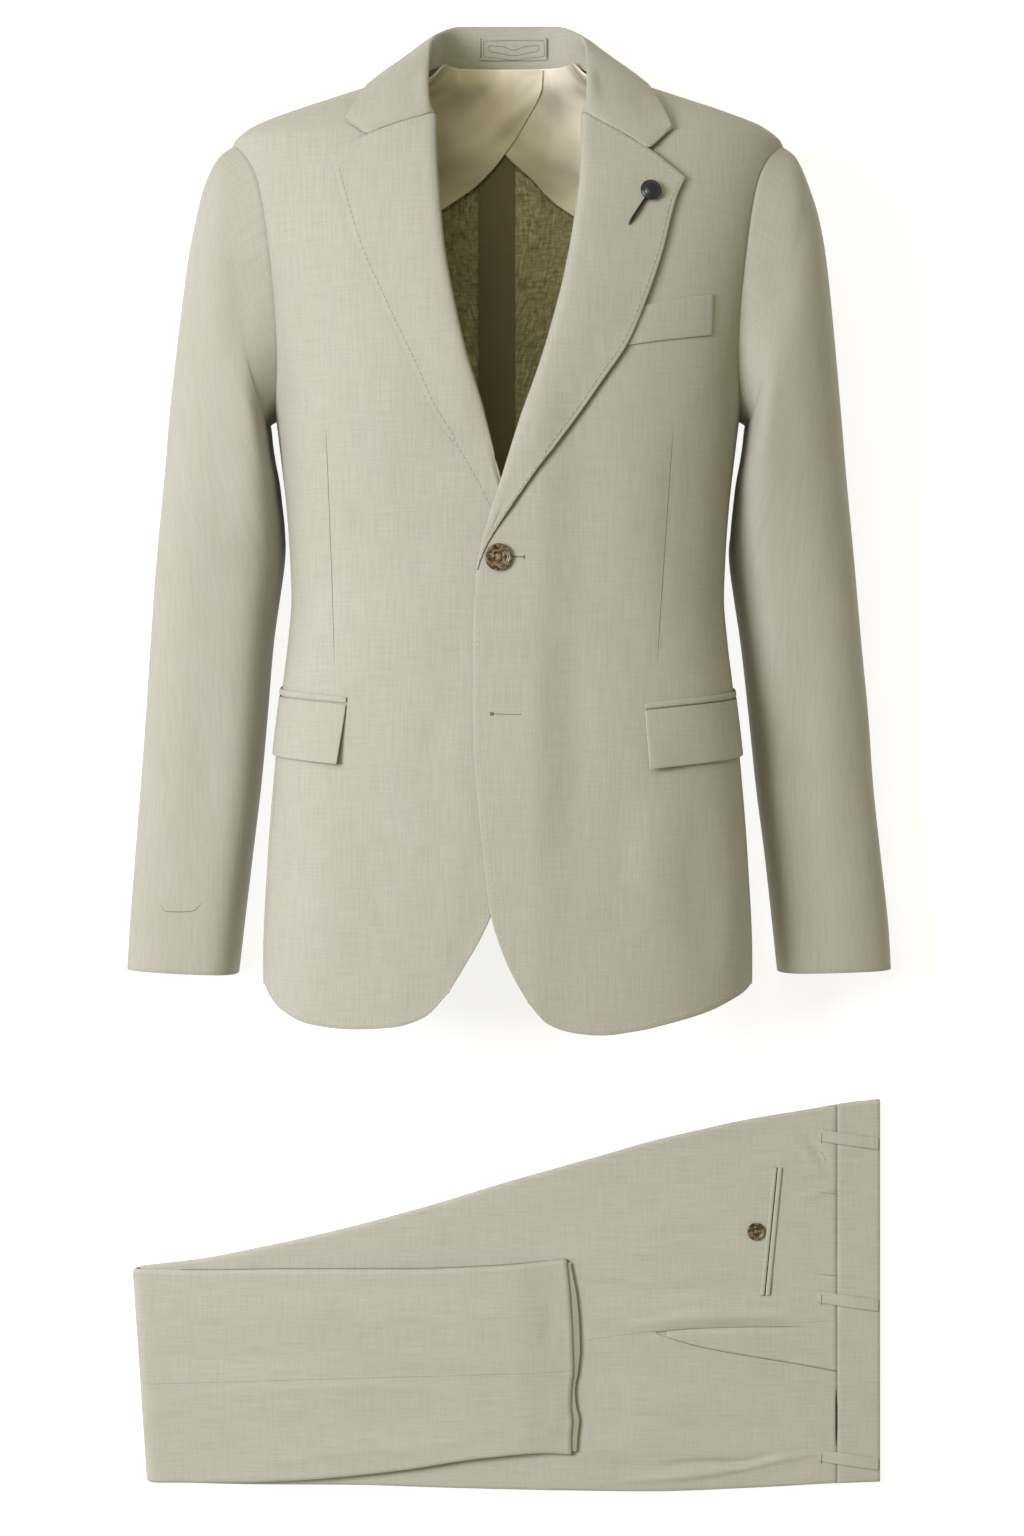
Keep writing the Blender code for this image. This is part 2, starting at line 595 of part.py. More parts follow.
def button(name, x, y, side, r, thick):
    a = angle_at(x, y)
    foot, above = torso(a, y, .0009, side > 0), torso(a, y, .0109, side > 0)
    turned(name, foot, above - foot, button_profile(r, thick), HORN)


button("button_top", -.0070, .1560, 1, .0106, .0034)
button("button_low", .0005, .0340, -1, .0102, .0022)


def tree(names):
    """The cloth of some pieces, to find heights on."""
    bpy.context.view_layer.update()
    graph = bpy.context.evaluated_depsgraph_get()
    verts, faces = [], []
    for name in names:
        mesh = bpy.data.objects[name].evaluated_get(graph).to_mesh()
        base = len(verts)
        verts += [v.co.copy() for v in mesh.vertices]
        faces += [[base + k for k in p.vertices] for p in mesh.polygons]
    return BVHTree.FromPolygons(verts, faces)


def drop(under, x, y, start):
    """Height of the cloth straight below each place x, y."""
    x, y = np.broadcast_arrays(np.asarray(x, float), np.asarray(y, float))
    z = np.zeros(x.shape)
    for i in np.ndindex(x.shape):
        across = x[i] + (.0009 if abs(x[i]) < .0007 else 0)     # clear of the centre seam's gap
        z[i] = under.ray_cast(Vector((across, y[i], start)), Vector((0, 0, -1)))[0].z
    return z


PIN_HEAD, PIN_FOOT = np.array([.1110, .4400]), np.array([.0935, .4120])
PIN_R, STEM_R = .0084, .0012
PIN_PROFILE = [(0, 0), (.0060, 0), (.0080, .0008), (PIN_R, .0020), (.0074, .0036), (.0044, .0050), (0, .0055)]
PIN_LEAN = (.18, .25, 1)
LAPEL_LEFT = tree(["lapel_left"])
head_z, foot_z = drop(LAPEL_LEFT, *np.stack([PIN_HEAD, PIN_FOOT], -1), .3)
turned("lapel_pin_head", (*PIN_HEAD, head_z + .0014), PIN_LEAN, PIN_PROFILE, ENAMEL, 14)


def stem(name, start, end, r):
    curve = bpy.data.curves.new(name, "CURVE")
    curve.dimensions = "3D"
    curve.bevel_depth = r
    curve.bevel_resolution = 1
    curve.use_fill_caps = True
    line = curve.splines.new("POLY")
    line.points.add(2)
    for point, t, taper in zip(line.points, (0, .88, 1), (1, 1, .4)):
        point.co = (*(np.array(start) * (1 - t) + np.array(end) * t), 1)
        point.radius = taper
    add(name, curve, ENAMEL)


way = (PIN_FOOT - PIN_HEAD) / np.linalg.norm(PIN_FOOT - PIN_HEAD)
stem_top = PIN_HEAD + way * (PIN_R + .0014)
stem_z = float(drop(LAPEL_LEFT, *stem_top, .3))
stem("lapel_pin_stem", (*stem_top, stem_z + .0020), (*PIN_FOOT, foot_z + .0019), STEM_R)

# ---------------------------------------------------------------- inside the back

BACKS = tree(["back_left", "back_right"])


def inside(name, low, high, rows, cols, out, finish, under=BACKS, start=.09):
    """A thin piece that lies on the inner side of the cloth, between two edges in millimetres."""
    low, high = np.array(low, float) * MM, np.array(high, float) * MM
    g = coons(np.linspace(low[0], high[0], rows), np.linspace(low[-1], high[-1], rows),
              along(low, cols), along(high, cols))
    z = drop(under, g[..., 0], g[..., 1], start) + out
    wall(name, np.concatenate([g, z[..., None]], -1), THIN, UP, 0, finish, 1)


TAPE = (-25, 6)                             # the bound seam allowance, a little to the wearer's right
inside("back_seam_tape", [(TAPE[0], -122), (TAPE[1], -122)], [(TAPE[0], 553), (TAPE[1], 553)], 24, 3,
       .0009, LINEN)


def on_back(places):
    """Places x, y on the back in millimetres, as angle and height."""
    x, y = np.array(places, float).T * MM
    deep = (column("ridge", y) - column("back", y)) * PRESSED
    fallen = deep * (1 - (np.abs(x) / column("half", y)) ** ROUND_BACK) ** (1 / ROUND_BACK)
    return np.stack([np.arctan2(x, -fallen) % (2 * math.pi), y], axis=-1)


# the two leaves of the half lining: the free lower edge, from the arm to the neck, and the edge
# along the shoulder seam and the neckline
LINING_LOW = {1: [(162, 414), (120, 433), (63, 455), (37, 472), (21, 489), (-3, 511), (-18, 535), (-29, 562)],
              -1: [(162, 412), (120, 438), (59, 462), (44, 472), (25, 486), (3, 510), (-17, 540), (-29, 562)]}
LINING_HIGH = table("degrees height", (97, .508), (96, .530), (99, .5505), (118, .5640), (150, .5715),
                    (180, .5725), (206, .5720))
LINING_HIGH = np.stack([np.radians(LINING_HIGH["degrees"]), LINING_HIGH["height"]], axis=-1)
# how far each leaf stands off the back, low down and at the neck: the right one lies over the left
LINING_OUT = {1: (.0034, .0053), -1: (.0056, .0075)}
LINING_ROWS, LINING_COLS = 7, 14
RAY = .02                                   # the back is looked for from this far inside


def lining(name, side):
    low, high = along(on_back(LINING_LOW[side]), LINING_COLS), along(LINING_HIGH, LINING_COLS)
    domain = coons(np.linspace(low[0], high[0], LINING_ROWS), np.linspace(low[-1], high[-1], LINING_ROWS),
                   low, high)
    at_neck = step(.500, .530, domain[..., 1])
    off = LINING_OUT[side][0] * (1 - at_neck) + LINING_OUT[side][1] * at_neck
    cloth, inner = torso(*np.moveaxis(domain, -1, 0)), torso(*np.moveaxis(domain, -1, 0), -RAY)
    if side < 0:
        cloth, inner = mirrored(cloth), mirrored(inner)
    outwards = (cloth - inner) / RAY
    for i in np.ndindex(off.shape):
        hit = BACKS.ray_cast(Vector(inner[i]), Vector(outwards[i]))[3]
        reach = RAY - CLOTH if hit is None else hit
        inner[i] += outwards[i] * (reach - off[i] - THIN / 2)
    wall(name, inner, THIN, UP, 0, LINING)


for side, word in WEARER:
    lining("lining_" + word, side)
inside("hanger_tab", [(-23.5, 583), (33.5, 583)], [(-23.5, 600), (33.5, 600)], 3, 7, .0004, LINING,
       tree(["collar"]), .2)

# ---------------------------------------------------------------- trousers, folded flat

# edges in millimetres: the folded edges of the thigh and seat, the side seam, the slant pocket
TOP_EDGE = table("x y", (-306, -430.5), (-260, -423), (-218, -415), (-175, -406), (-133, -396), (-91, -385),
                 (-49, -373), (-7, -360), (35, -348), (78, -336), (120, -324), (162, -314), (204, -305),
                 (246, -298), (288, -291), (315, -288))
LOW_EDGE = table("x y", (-306, -610), (-218, -612), (-133, -612.5), (-49, -615), (35, -617), (120, -618),
                 (204, -615), (278, -611), (315, -609.5))
SIDE_SEAM = table("x y", (-306, -526), (-100, -510), (61, -491), (124, -483), (195, -479), (278, -474),
                  (315, -472))
SLANT = table("x y", (124, -485), (162, -496), (204, -504), (246, -511), (277.6, -517))
# the turned-back leg: its folded edges, its seam, its hem and the knee fold
SHIN_TOP = table("x y", (-316, -429.5), (-258, -431), (-175, -430), (-91, -430), (-7, -427), (46, -422))
SHIN_LOW = table("x y", (-304, -608), (-233, -608), (-175, -606), (-91, -598), (-23, -588), (27, -584),
                 (54, -586))
SHIN_SEAM = table("x y", (-310, -525.5), (46, -515.5))
LEG_HEM = table("y x", (-586, 54), (-538, 53), (-496, 55), (-454, 53), (-422, 46))
KNEE = table("y x", (-612, -303.5), (-519, -309.5), (-429, -315.5))
KNEE_END = -.3155
THIGH_Z, SHIN_Z = .0108, .0216              # top of the lower and of the upper stack of layers
BEND, BEND_DROP = .008, .005                # how the cloth rolls over at a folded edge
NEAR_EDGE = np.array([BEND, BEND * .5, BEND * .22, BEND * .06, 0])
WAIST, TOP_OF_BAND = .2778, .3140           # where the waistband starts and ends
THIGH_END = -.3055
SLANT_START, POCKET_START = .124, .146


def at_mm(t, key, value, p):
    return smooth(t[key], t[value], np.asarray(p) / MM) * MM


def edge(t, x):
    return float(at_mm(t, "x", "y", x))


def rounded(e):
    """How far the cloth has dropped at a distance e from a folded edge."""
    k = np.clip(1 - np.asarray(e) / BEND, 0, 1)
    return BEND_DROP * (1 - np.sqrt(1 - k * k))


def leaning(g):
    """Leans the knee end to follow the fold of the turned-back leg."""
    g = np.array(g, float)
    g[..., 0] += np.clip((-.2 - g[..., 0]) / .106, 0, 1) * (at_mm(KNEE, "y", "x", g[..., 1]) - KNEE_END)
    return g


def folded(name, xs, seam_y, fold_y, cols):
    """A panel between a seam and a folded edge, where it rolls over."""
    grid = []
    for x in xs:
        a, b = seam_y(x), fold_y(x)
        s = math.copysign(1, b - a)
        ys = np.concatenate([np.linspace(a, b - s * BEND, cols)[:-1], b - s * NEAR_EDGE])
        zs = THIGH_Z - CLOTH / 2 - np.concatenate([np.zeros(cols - 1), rounded(NEAR_EDGE)])
        grid.append(np.stack([np.full(len(ys), x), ys, zs], -1))
    wall(name, leaning(grid), CLOTH, UP)


def front_top(x):
    return edge(SLANT, x) - .0004 if x > SLANT_START else edge(SIDE_SEAM, x) - .0002


LEG_XS = np.linspace(THIGH_END, .05, 7)[:-1]
folded("trouser_back", np.concatenate([LEG_XS, np.linspace(.05, WAIST, 7)]),
       lambda x: edge(SIDE_SEAM, x), lambda x: edge(TOP_EDGE, x), 6)
folded("trouser_front", np.concatenate([LEG_XS, [.05, .087], np.linspace(SLANT_START, WAIST, 7)]),
       front_top, lambda x: edge(LOW_EDGE, x), 4)

POCKET_CLOTH = .0014
grid = []
for x in np.linspace(POCKET_START, WAIST, 7):
    ys = np.linspace(edge(SIDE_SEAM, x) - .0004, front_top(x) + .0006, 3)
    grid.append([(x, y, THIGH_Z - .0005 - POCKET_CLOTH / 2) for y in ys])
wall("pocket_side", np.array(grid), POCKET_CLOTH, UP)

BAND_Z, BAND_THICK = .0124, .0022
grid = []
for x in np.linspace(WAIST + .0006, TOP_OF_BAND, 4):
    a, b = edge(LOW_EDGE, x), edge(TOP_EDGE, x)
    ys = np.concatenate([a + NEAR_EDGE[::-1], np.linspace(a + BEND, b - BEND, 13)[1:-1], b - NEAR_EDGE])
    z = BAND_Z - BAND_THICK / 2 - rounded(np.minimum(ys - a, b - ys))
    grid.append(np.stack([np.full(len(ys), x), ys, z], -1))
wall("waistband", np.array(grid), BAND_THICK, UP, 0)

# belt loops: a strip from the seam of the band over its top, standing off in the middle
LOOP = table("x z", (.2615, .0114), (.2665, .0118), (.2770, .0132), (.2860, .0146), (.2970, .0150),
             (.3070, .0140), (.3125, .0130))
LOOP_Y, LOOP_HALF, LOOP_THICK = (-.3209, -.4572, -.5909), .0053, .0014
for k, y in enumerate(LOOP_Y, 1):
    grid = [[(x, y + w, z + LOOP_THICK / 2) for x, z in zip(LOOP["x"], LOOP["z"])]
            for w in (-LOOP_HALF, 0, LOOP_HALF)]
    wall("belt_loop_%d" % k, np.array(grid), LOOP_THICK, UP, 0)

# back pocket: two jets beside its slot, x of their sides at the upper and at the lower end
JETS = {"in": ((.2235, .2125), (.2270, .2163)), "out": ((.2278, .2171), (.2315, .2210))}
JET_ENDS = (-.3445, -.4525)
for word, sides in JETS.items():
    grid = [[(upper + (lower - upper) * t, JET_ENDS[0] + (JET_ENDS[1] - JET_ENDS[0]) * t, THIGH_Z + .0008)
             for upper, lower in sides] for t in np.linspace(0, 1, 7)]
    wall("pocket_jet_" + word, np.array(grid), THIN, UP, 0)

turned("pocket_button", (.2092, -.3985, THIGH_Z + .0005), UP, button_profile(.0075, .0024), HORN, 14)

# hidden layers: loops of the outline, drawn in and stacked, with a groove between two layers
LAYERS = table("inset z", (.0030, 0), (.0012, .0006), (.0012, .0020), (.0032, .0024), (.0012, .0028),
               (.0012, .0046), (.0032, .0050), (.0036, .0070), (.0078, .0086))
SECOND_HEM = .0050                          # the second leg's hem shows this far past the first


def outline(x0, x1, low, high, n, ends):
    xs = np.linspace(x0, x1, n)
    a, b = [(x, edge(low, x)) for x in xs], [(x, edge(high, x)) for x in xs[::-1]]
    t = np.linspace(0, 1, ends)[1:-1]
    right = [(x1, a[-1][1] + (b[0][1] - a[-1][1]) * k) for k in t]
    left = [(x0, b[-1][1] + (a[0][1] - b[-1][1]) * k) for k in t]
    return a + right + b + left


def layers(name, line, level, squeeze=1.0):
    """A loft through the loops, closed by a fan of faces below and above."""
    o = leaning(line)
    before, after = o - np.roll(o, 1, 0), np.roll(o, -1, 0) - o
    t = before / np.linalg.norm(before, axis=1)[:, None] + after / np.linalg.norm(after, axis=1)[:, None]
    t /= np.linalg.norm(t, axis=1)[:, None]
    inward = np.stack([-t[:, 1], t[:, 0]], -1)
    loops = [np.concatenate([o + inward * inset, np.full((len(o), 1), level + z * squeeze)], 1)
             for inset, z in zip(LAYERS["inset"], LAYERS["z"])]
    m, last = len(o), len(o) * (len(loops) - 1)
    verts = np.concatenate(loops + [loops[0].mean(0)[None], loops[-1].mean(0)[None]])
    low, high = len(verts) - 2, len(verts) - 1
    faces = []
    for i in range(m):
        j = (i + 1) % m
        faces += [(k * m + i, k * m + j, (k + 1) * m + j, (k + 1) * m + i) for k in range(len(loops) - 1)]
        faces += [(low, j, i), (high, last + i, last + j)]
    mesh = bpy.data.meshes.new(name)
    mesh.from_pydata(verts.tolist(), [], faces)
    add(name, mesh, LINEN)


layers("thigh_layers", outline(-.3060, .3135, LOW_EDGE, TOP_EDGE, 16, 5), 0)
SHIN_BLOCK_END = .0500
line = [(float(at_mm(LEG_HEM, "y", "x", y)) + SECOND_HEM + .0012, y) if x > SHIN_BLOCK_END - .0001 else (x, y)
        for x, y in outline(-.3030, SHIN_BLOCK_END, SHIN_LOW, SHIN_TOP, 9, 6)]
layers("shin_layers", line, THIGH_Z + .0004, .93)

# turned-back leg: each panel rolls round the knee fold at one end and over a folded edge
KNEE_R, KNEE_HALF = .0125, .0098            # reach and half height of the roll round the knee
SHIN_MIDDLE = SHIN_Z - CLOTH / 2
KNEE_ANGLES = np.radians([-46, -15, 15, 44, 72])


def shin(name, fold_t):
    far, near = edge(SHIN_SEAM, -.300), edge(fold_t, -.300)
    s = math.copysign(1, near - far)
    grid = []
    for k, e in [(k, 0.0) for k in (0, 1 / 3, 2 / 3)] + [(1.0, e) for e in NEAR_EDGE]:
        fallen = float(rounded(e)) if k == 1 else 0.0
        squash = 1 - fallen / KNEE_HALF
        start = float(at_mm(KNEE, "y", "x", far + (near - far) * k)) + KNEE_R
        y = far + (near - s * e - far) * k
        row = [(start - KNEE_R * math.cos(a) * (.4 + .6 * squash), y,
                SHIN_MIDDLE - KNEE_HALF + KNEE_HALF * math.sin(a) * squash) for a in KNEE_ANGLES]
        for u in np.linspace(0, 1, 8):
            x = start + u * .35
            for _ in range(2):
                y = edge(SHIN_SEAM, x) + (edge(fold_t, x) - s * e - edge(SHIN_SEAM, x)) * k
                x = start + (float(at_mm(LEG_HEM, "y", "x", y)) - .0002 - start) * u
            row.append((x, y, SHIN_MIDDLE - fallen))
        grid.append(row)
    wall(name, np.array(grid), CLOTH, UP)


shin("shin_back", SHIN_TOP)
shin("shin_front", SHIN_LOW)

# ---------------------------------------------------------------- centred on the origin

bpy.context.view_layer.update()
graph = bpy.context.evaluated_depsgraph_get()
places = []
for ob in SUIT.objects:
    if ob.type == "MESH":
        places += [ob.matrix_world @ v.co for v in ob.evaluated_get(graph).to_mesh().vertices]
places = np.array(places)
middle = (places.min(axis=0) + places.max(axis=0)) / 2
ROOT.location = (-middle[0], -middle[1], 0)
bpy.context.view_layer.update()
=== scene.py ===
"""The looks of the two-piece linen suit: every piece of cloth as a thin shell on its solid's form.

Metres. Places are given in the tables' own frame and shifted once, by SHIFT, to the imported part.
"""
import math

import bpy
import numpy as np
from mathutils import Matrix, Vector
from mathutils.bvhtree import BVHTree


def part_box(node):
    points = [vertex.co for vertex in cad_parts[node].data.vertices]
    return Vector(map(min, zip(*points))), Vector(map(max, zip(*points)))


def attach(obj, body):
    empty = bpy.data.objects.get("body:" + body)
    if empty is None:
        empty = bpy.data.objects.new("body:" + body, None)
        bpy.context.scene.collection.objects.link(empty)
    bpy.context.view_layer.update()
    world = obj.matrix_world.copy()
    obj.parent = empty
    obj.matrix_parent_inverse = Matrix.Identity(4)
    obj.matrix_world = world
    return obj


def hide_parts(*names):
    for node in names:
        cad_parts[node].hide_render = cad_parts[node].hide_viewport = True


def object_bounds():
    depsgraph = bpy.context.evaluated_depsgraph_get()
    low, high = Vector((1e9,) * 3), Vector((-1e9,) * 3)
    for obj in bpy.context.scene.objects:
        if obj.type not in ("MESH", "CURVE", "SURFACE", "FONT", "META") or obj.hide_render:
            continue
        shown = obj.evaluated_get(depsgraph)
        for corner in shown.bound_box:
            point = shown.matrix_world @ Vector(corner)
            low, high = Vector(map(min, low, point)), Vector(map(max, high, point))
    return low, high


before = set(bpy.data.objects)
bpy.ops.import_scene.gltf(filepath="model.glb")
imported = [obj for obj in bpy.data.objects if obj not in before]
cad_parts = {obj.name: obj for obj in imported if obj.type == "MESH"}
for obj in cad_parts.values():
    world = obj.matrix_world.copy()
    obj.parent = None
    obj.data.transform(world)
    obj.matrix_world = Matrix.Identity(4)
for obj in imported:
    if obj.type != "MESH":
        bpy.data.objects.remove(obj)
CAD_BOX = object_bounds()

MM = .001
CLOTH, FOLDED, THIN = .0016, .0020, .0010   # thickness of one, of folded and of thin cloth
SEAM = .00015                               # how far each piece ends before its seam
LAID = .0007                                # gap under a piece that lies on another
UP = np.array([0, 0, 1.0])
MIDDLE = np.array([0, 0, .1])               # a place inside the jacket
LEVEL = np.array([1, 0, 1])                 # takes out what runs along the body
WEARER = ((1, "left"), (-1, "right"))       # the wearer's sides: the sign of x, and the word
# the tape's low corner is at (-25, -122) mm in the tables
SHIFT = np.array(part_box("back_seam_tape")[0]) - np.array([-.025, -.122, 0])
SHIFT[2] = 0

# ---------------------------------------------------------------- materials


class Finish:
    """A node material: short calls for the nodes that it is made of."""

    def __init__(self, name, roughness):
        self.made = bpy.data.materials.new(name)
        self.made.use_nodes = True
        self.tree = self.made.node_tree
        self.shader = self.tree.nodes["Principled BSDF"]
        self.shader.inputs["Roughness"].default_value = roughness

    def node(self, kind, inputs=(), **settings):
        made = self.tree.nodes.new(kind)
        for key, value in settings.items():
            setattr(made, key, value)
        for key, value in dict(inputs).items():
            self.put(value, made.inputs[key])
        return made

    def put(self, value, socket):
        if isinstance(value, bpy.types.NodeSocket):
            self.tree.links.new(value, socket)
        else:
            socket.default_value = value

    def sum(self, operation, *values):
        made = self.node("ShaderNodeMath", operation=operation)
        for socket, value in zip(made.inputs, values):
            self.put(value, socket)
        return made.outputs[0]

    def uv(self):
        return self.node("ShaderNodeUVMap", uv_map="cloth").outputs[0]

    def stretched(self, vector, *scale):
        """Coordinates scaled by a number along each axis."""
        made = self.node("ShaderNodeVectorMath", operation="MULTIPLY")
        self.put(vector, made.inputs[0])
        made.inputs[1].default_value = scale
        return made.outputs[0]

    def noise(self, vector, scale=1.0, detail=2.0, rough=.5):
        made = self.node("ShaderNodeTexNoise", {"Scale": scale, "Detail": detail, "Roughness": rough,
                                                "Vector": vector})
        return made.outputs["Fac"]

    def around(self, factor, amount):
        """1, give or take: a noise of 0 to 1 turned into a small change of brightness."""
        return self.sum("MULTIPLY_ADD", factor, 2 * amount, 1 - amount)

    def shade(self, colour, factor):
        made = self.node("ShaderNodeVectorMath", operation="SCALE")
        if isinstance(colour, tuple):
            made.inputs[0].default_value = colour
        else:
            self.put(colour, made.inputs[0])
        self.put(factor, made.inputs["Scale"])
        self.put(made.outputs[0], self.shader.inputs["Base Color"])

    def bump(self, height, strength, distance):
        made = self.node("ShaderNodeBump", {"Strength": strength, "Distance": distance, "Height": height})
        self.put(made.outputs[0], self.shader.inputs["Normal"])

    def fixed(self, **values):
        for key, value in values.items():
            self.shader.inputs[key.replace("_", " ")].default_value = value


WEAVE = .00074                              # length of one repeat of the weave


def linen(name, colour, warm, slub=.07, gap=.10, mottle=.04, fine=1.0, short=1.0):
    """Plain weave from the cloth's own lengths, with thick and thin threads both ways. Patches
    turn softly from the first colour to the warm one. With fine below 1 the threads are coarser,
    with short above 1 their thickness changes more often."""
    m = Finish(name, .92)
    uv = m.uv()
    wander = m.noise(m.stretched(uv, 60, 60, 0), detail=1)
    parts = m.node("ShaderNodeSeparateXYZ", {"Vector": uv})
    pitch = 2 * math.pi / WEAVE
    u = m.sum("MULTIPLY_ADD", parts.outputs[0], pitch, m.sum("MULTIPLY", wander, 9.0))
    v = m.sum("MULTIPLY_ADD", parts.outputs[1], pitch * .93, m.sum("MULTIPLY", wander, -7.0))
    over = m.sum("MULTIPLY", m.sum("SINE", u), m.sum("SINE", v))
    warp = m.noise(m.stretched(uv, 700 * fine, 30 * short, 0), detail=3, rough=.6)
    weft = m.noise(m.stretched(uv, 36 * short, 640 * fine, 0), detail=3, rough=.6)
    patch = m.noise(m.stretched(uv, 11, 6, 0), detail=3)
    cloud = m.node("ShaderNodeMapRange", {"Value": m.noise(m.stretched(uv, 17, 9, 0), detail=2),
                                          "From Min": .35, "From Max": .70})
    hue = m.node("ShaderNodeMix", data_type="VECTOR")
    m.put(cloud.outputs[0], hue.inputs["Factor"])
    hue.inputs[4].default_value, hue.inputs[5].default_value = colour, warm
    hole = m.sum("MULTIPLY_ADD", over, gap / 2, 1 - gap / 2)
    threads = m.sum("MULTIPLY", m.around(warp, slub * 1.6), m.around(weft, slub * 1.2))
    m.shade(hue.outputs[1], m.sum("MULTIPLY", m.sum("MULTIPLY", hole, threads), m.around(patch, mottle)))
    thick = m.sum("ADD", m.sum("MULTIPLY", warp, .9), m.sum("MULTIPLY", weft, .7))
    m.bump(m.sum("MULTIPLY_ADD", over, .30, thick), .42, .00030)
    m.fixed(Sheen_Weight=.10, Sheen_Roughness=.55, Sheen_Tint=(.9, .93, 1, 1), Specular_IOR_Level=.22)
    return m.made


def satin(name, colour, painted_shade):
    """Smooth lining cloth with a fine rib. The last number sets how much its tone swings in wide soft
    random patches: painted shade for the lining's soft folds.
    """
    m = Finish(name, .48)
    uv = m.uv()
    rib = m.noise(m.stretched(uv, 1500, 60, 0), detail=2)
    cloud = m.noise(m.stretched(uv, 22, 30, 0), detail=2)
    shade = m.noise(m.stretched(uv, 14, 20, 0), detail=1)
    m.shade(colour, m.sum("MULTIPLY", m.sum("MULTIPLY", m.around(rib, .05), m.around(cloud, .07)),
                          m.around(shade, painted_shade)))
    m.bump(m.sum("MULTIPLY_ADD", cloud, 6.0, rib), .40, .0004)
    m.fixed(Sheen_Weight=.1, Sheen_Roughness=.35, Specular_IOR_Level=.4)
    return m.made


def horn(name):
    m = Finish(name, .30)
    where = m.node("ShaderNodeTexCoord").outputs["Object"]
    streak = m.noise(m.stretched(where, 260, 420, 200), detail=4, rough=.62)
    ramp = m.node("ShaderNodeValToRGB", {"Fac": streak})
    stops = ((.34, (.012, .008, .005)), (.46, (.060, .038, .020)), (.60, (.27, .19, .10)),
             (.76, (.060, .038, .020)))
    while len(ramp.color_ramp.elements) < len(stops):
        ramp.color_ramp.elements.new(.5)
    for element, (at, colour) in zip(ramp.color_ramp.elements, stops):
        element.position = at
        element.color = (*colour, 1)
    m.put(ramp.outputs["Color"], m.shader.inputs["Base Color"])
    m.put(m.sum("MULTIPLY_ADD", streak, .25, .20), m.shader.inputs["Roughness"])
    m.bump(streak, .15, .0002)
    m.fixed(Coat_Weight=.35, Coat_Roughness=.18)
    return m.made


def thread(name, colour):
    m = Finish(name, .85)
    where = m.node("ShaderNodeTexCoord").outputs["Object"]
    twist = m.noise(m.stretched(where, 2600, 2600, 2600), detail=1)
    m.shade(colour, m.around(twist, .22))
    m.bump(twist, .5, .0002)
    return m.made


def lacquer(name, colour, roughness, metallic):
    m = Finish(name, roughness)
    where = m.node("ShaderNodeTexCoord").outputs["Object"]
    speck = m.noise(m.stretched(where, 900, 900, 900), detail=3)
    m.shade(colour, m.around(speck, .25))
    m.put(m.sum("MULTIPLY_ADD", speck, .2, roughness - .1), m.shader.inputs["Roughness"])
    m.bump(speck, .12, .0002)
    m.fixed(Metallic=metallic, Coat_Weight=.3, Coat_Roughness=.2)
    return m.made


# the jacket and the trousers are one linen: the trousers' copy is made about a tenth lighter, painted light
# for the stronger light on them, and the jacket's a little darker, painted shade for the weaker light on it
LINEN = linen("linen", (.480, .464, .396), (.468, .449, .368), slub=.10, mottle=.05)
TROUSER_LINEN_PAINTED_LIGHT = linen("trouser_linen_painted_light", (.534, .520, .448), (.526, .507, .425), slub=.10, mottle=.05)
# the inner side of the same linen, with a coarser, more open weave; its colour, lighter and more olive than
# the outside's, is painted light that lifts the shaded inside of the jacket, with the olive of its shade
# painted in
LINEN_INSIDE_PAINTED_LIGHT_AND_SHADE = linen("linen_inside_painted_light_and_shade", (.70, .65, .42), (.56, .51, .31), slub=.62, gap=.55, mottle=.12,
                     fine=.62, short=3.2)
BINDING = linen("binding", (.250, .215, .130), (.230, .195, .115), slub=.05, gap=.05)
# the body's lining swings strongly in tone, painted shade of its soft folds; the sleeves' lining only a
# little
LINING = satin("lining", (.90, .83, .67), .85)
SLEEVE_LINING = satin("sleeve_lining", (.90, .83, .67), .12)
HORN = horn("horn")
THREAD = thread("linen_thread", (.60, .575, .49))
# thread colours for thin dark lines of painted shade in grooves, darts, seams and slits, the darkest for
# the shade inside openings
GROOVE_SHADE_THREAD = thread("groove_shade_thread", (.30, .28, .21))
PAINTED_SHADE_THREAD = thread("shaded_thread", (.16, .145, .095))
SLOT_SHADE_THREAD = thread("slot_shade_thread", (.040, .036, .026))
HORN_THREAD = thread("horn_thread", (.30, .23, .13))
ENAMEL = lacquer("dark_enamel", (.020, .020, .026), .32, 0)
METAL = lacquer("dark_metal", (.040, .038, .042), .35, .8)

# ---------------------------------------------------------------- tables and curves


def table(names, *rows):
    a = np.array(rows, float)
    return {name: a[:, i] for i, name in enumerate(names.split())}


def smooth(x, y, at):
    """Monotone cubic through the rows of a table."""
    at = np.clip(np.asarray(at, float), x[0], x[-1])
    h = np.diff(x)
    d = np.diff(y) / h
    m = np.zeros(len(x))
    for i in range(1, len(x) - 1):
        if d[i - 1] * d[i] > 0:
            w1, w2 = 2 * h[i] + h[i - 1], h[i] + 2 * h[i - 1]
            m[i] = (w1 + w2) / (w1 / d[i - 1] + w2 / d[i])
    m[0], m[-1] = d[0], d[-1]
    i = np.clip(np.searchsorted(x, at) - 1, 0, len(h) - 1)
    t = (at - x[i]) / h[i]
    return ((1 + 2 * t) * (1 - t) ** 2 * y[i] + t * (1 - t) ** 2 * h[i] * m[i]
            + t * t * (3 - 2 * t) * y[i + 1] + t * t * (t - 1) * h[i] * m[i + 1])


def unit(v):
    """One vector, or many, brought to a length of 1."""
    return v / np.maximum(np.linalg.norm(v, axis=-1, keepdims=True), 1e-12)


def lengths_to(points):
    """Length along a line from its start to each of its points."""
    return np.concatenate([[0], np.cumsum(np.linalg.norm(np.diff(points, axis=0), axis=1))])


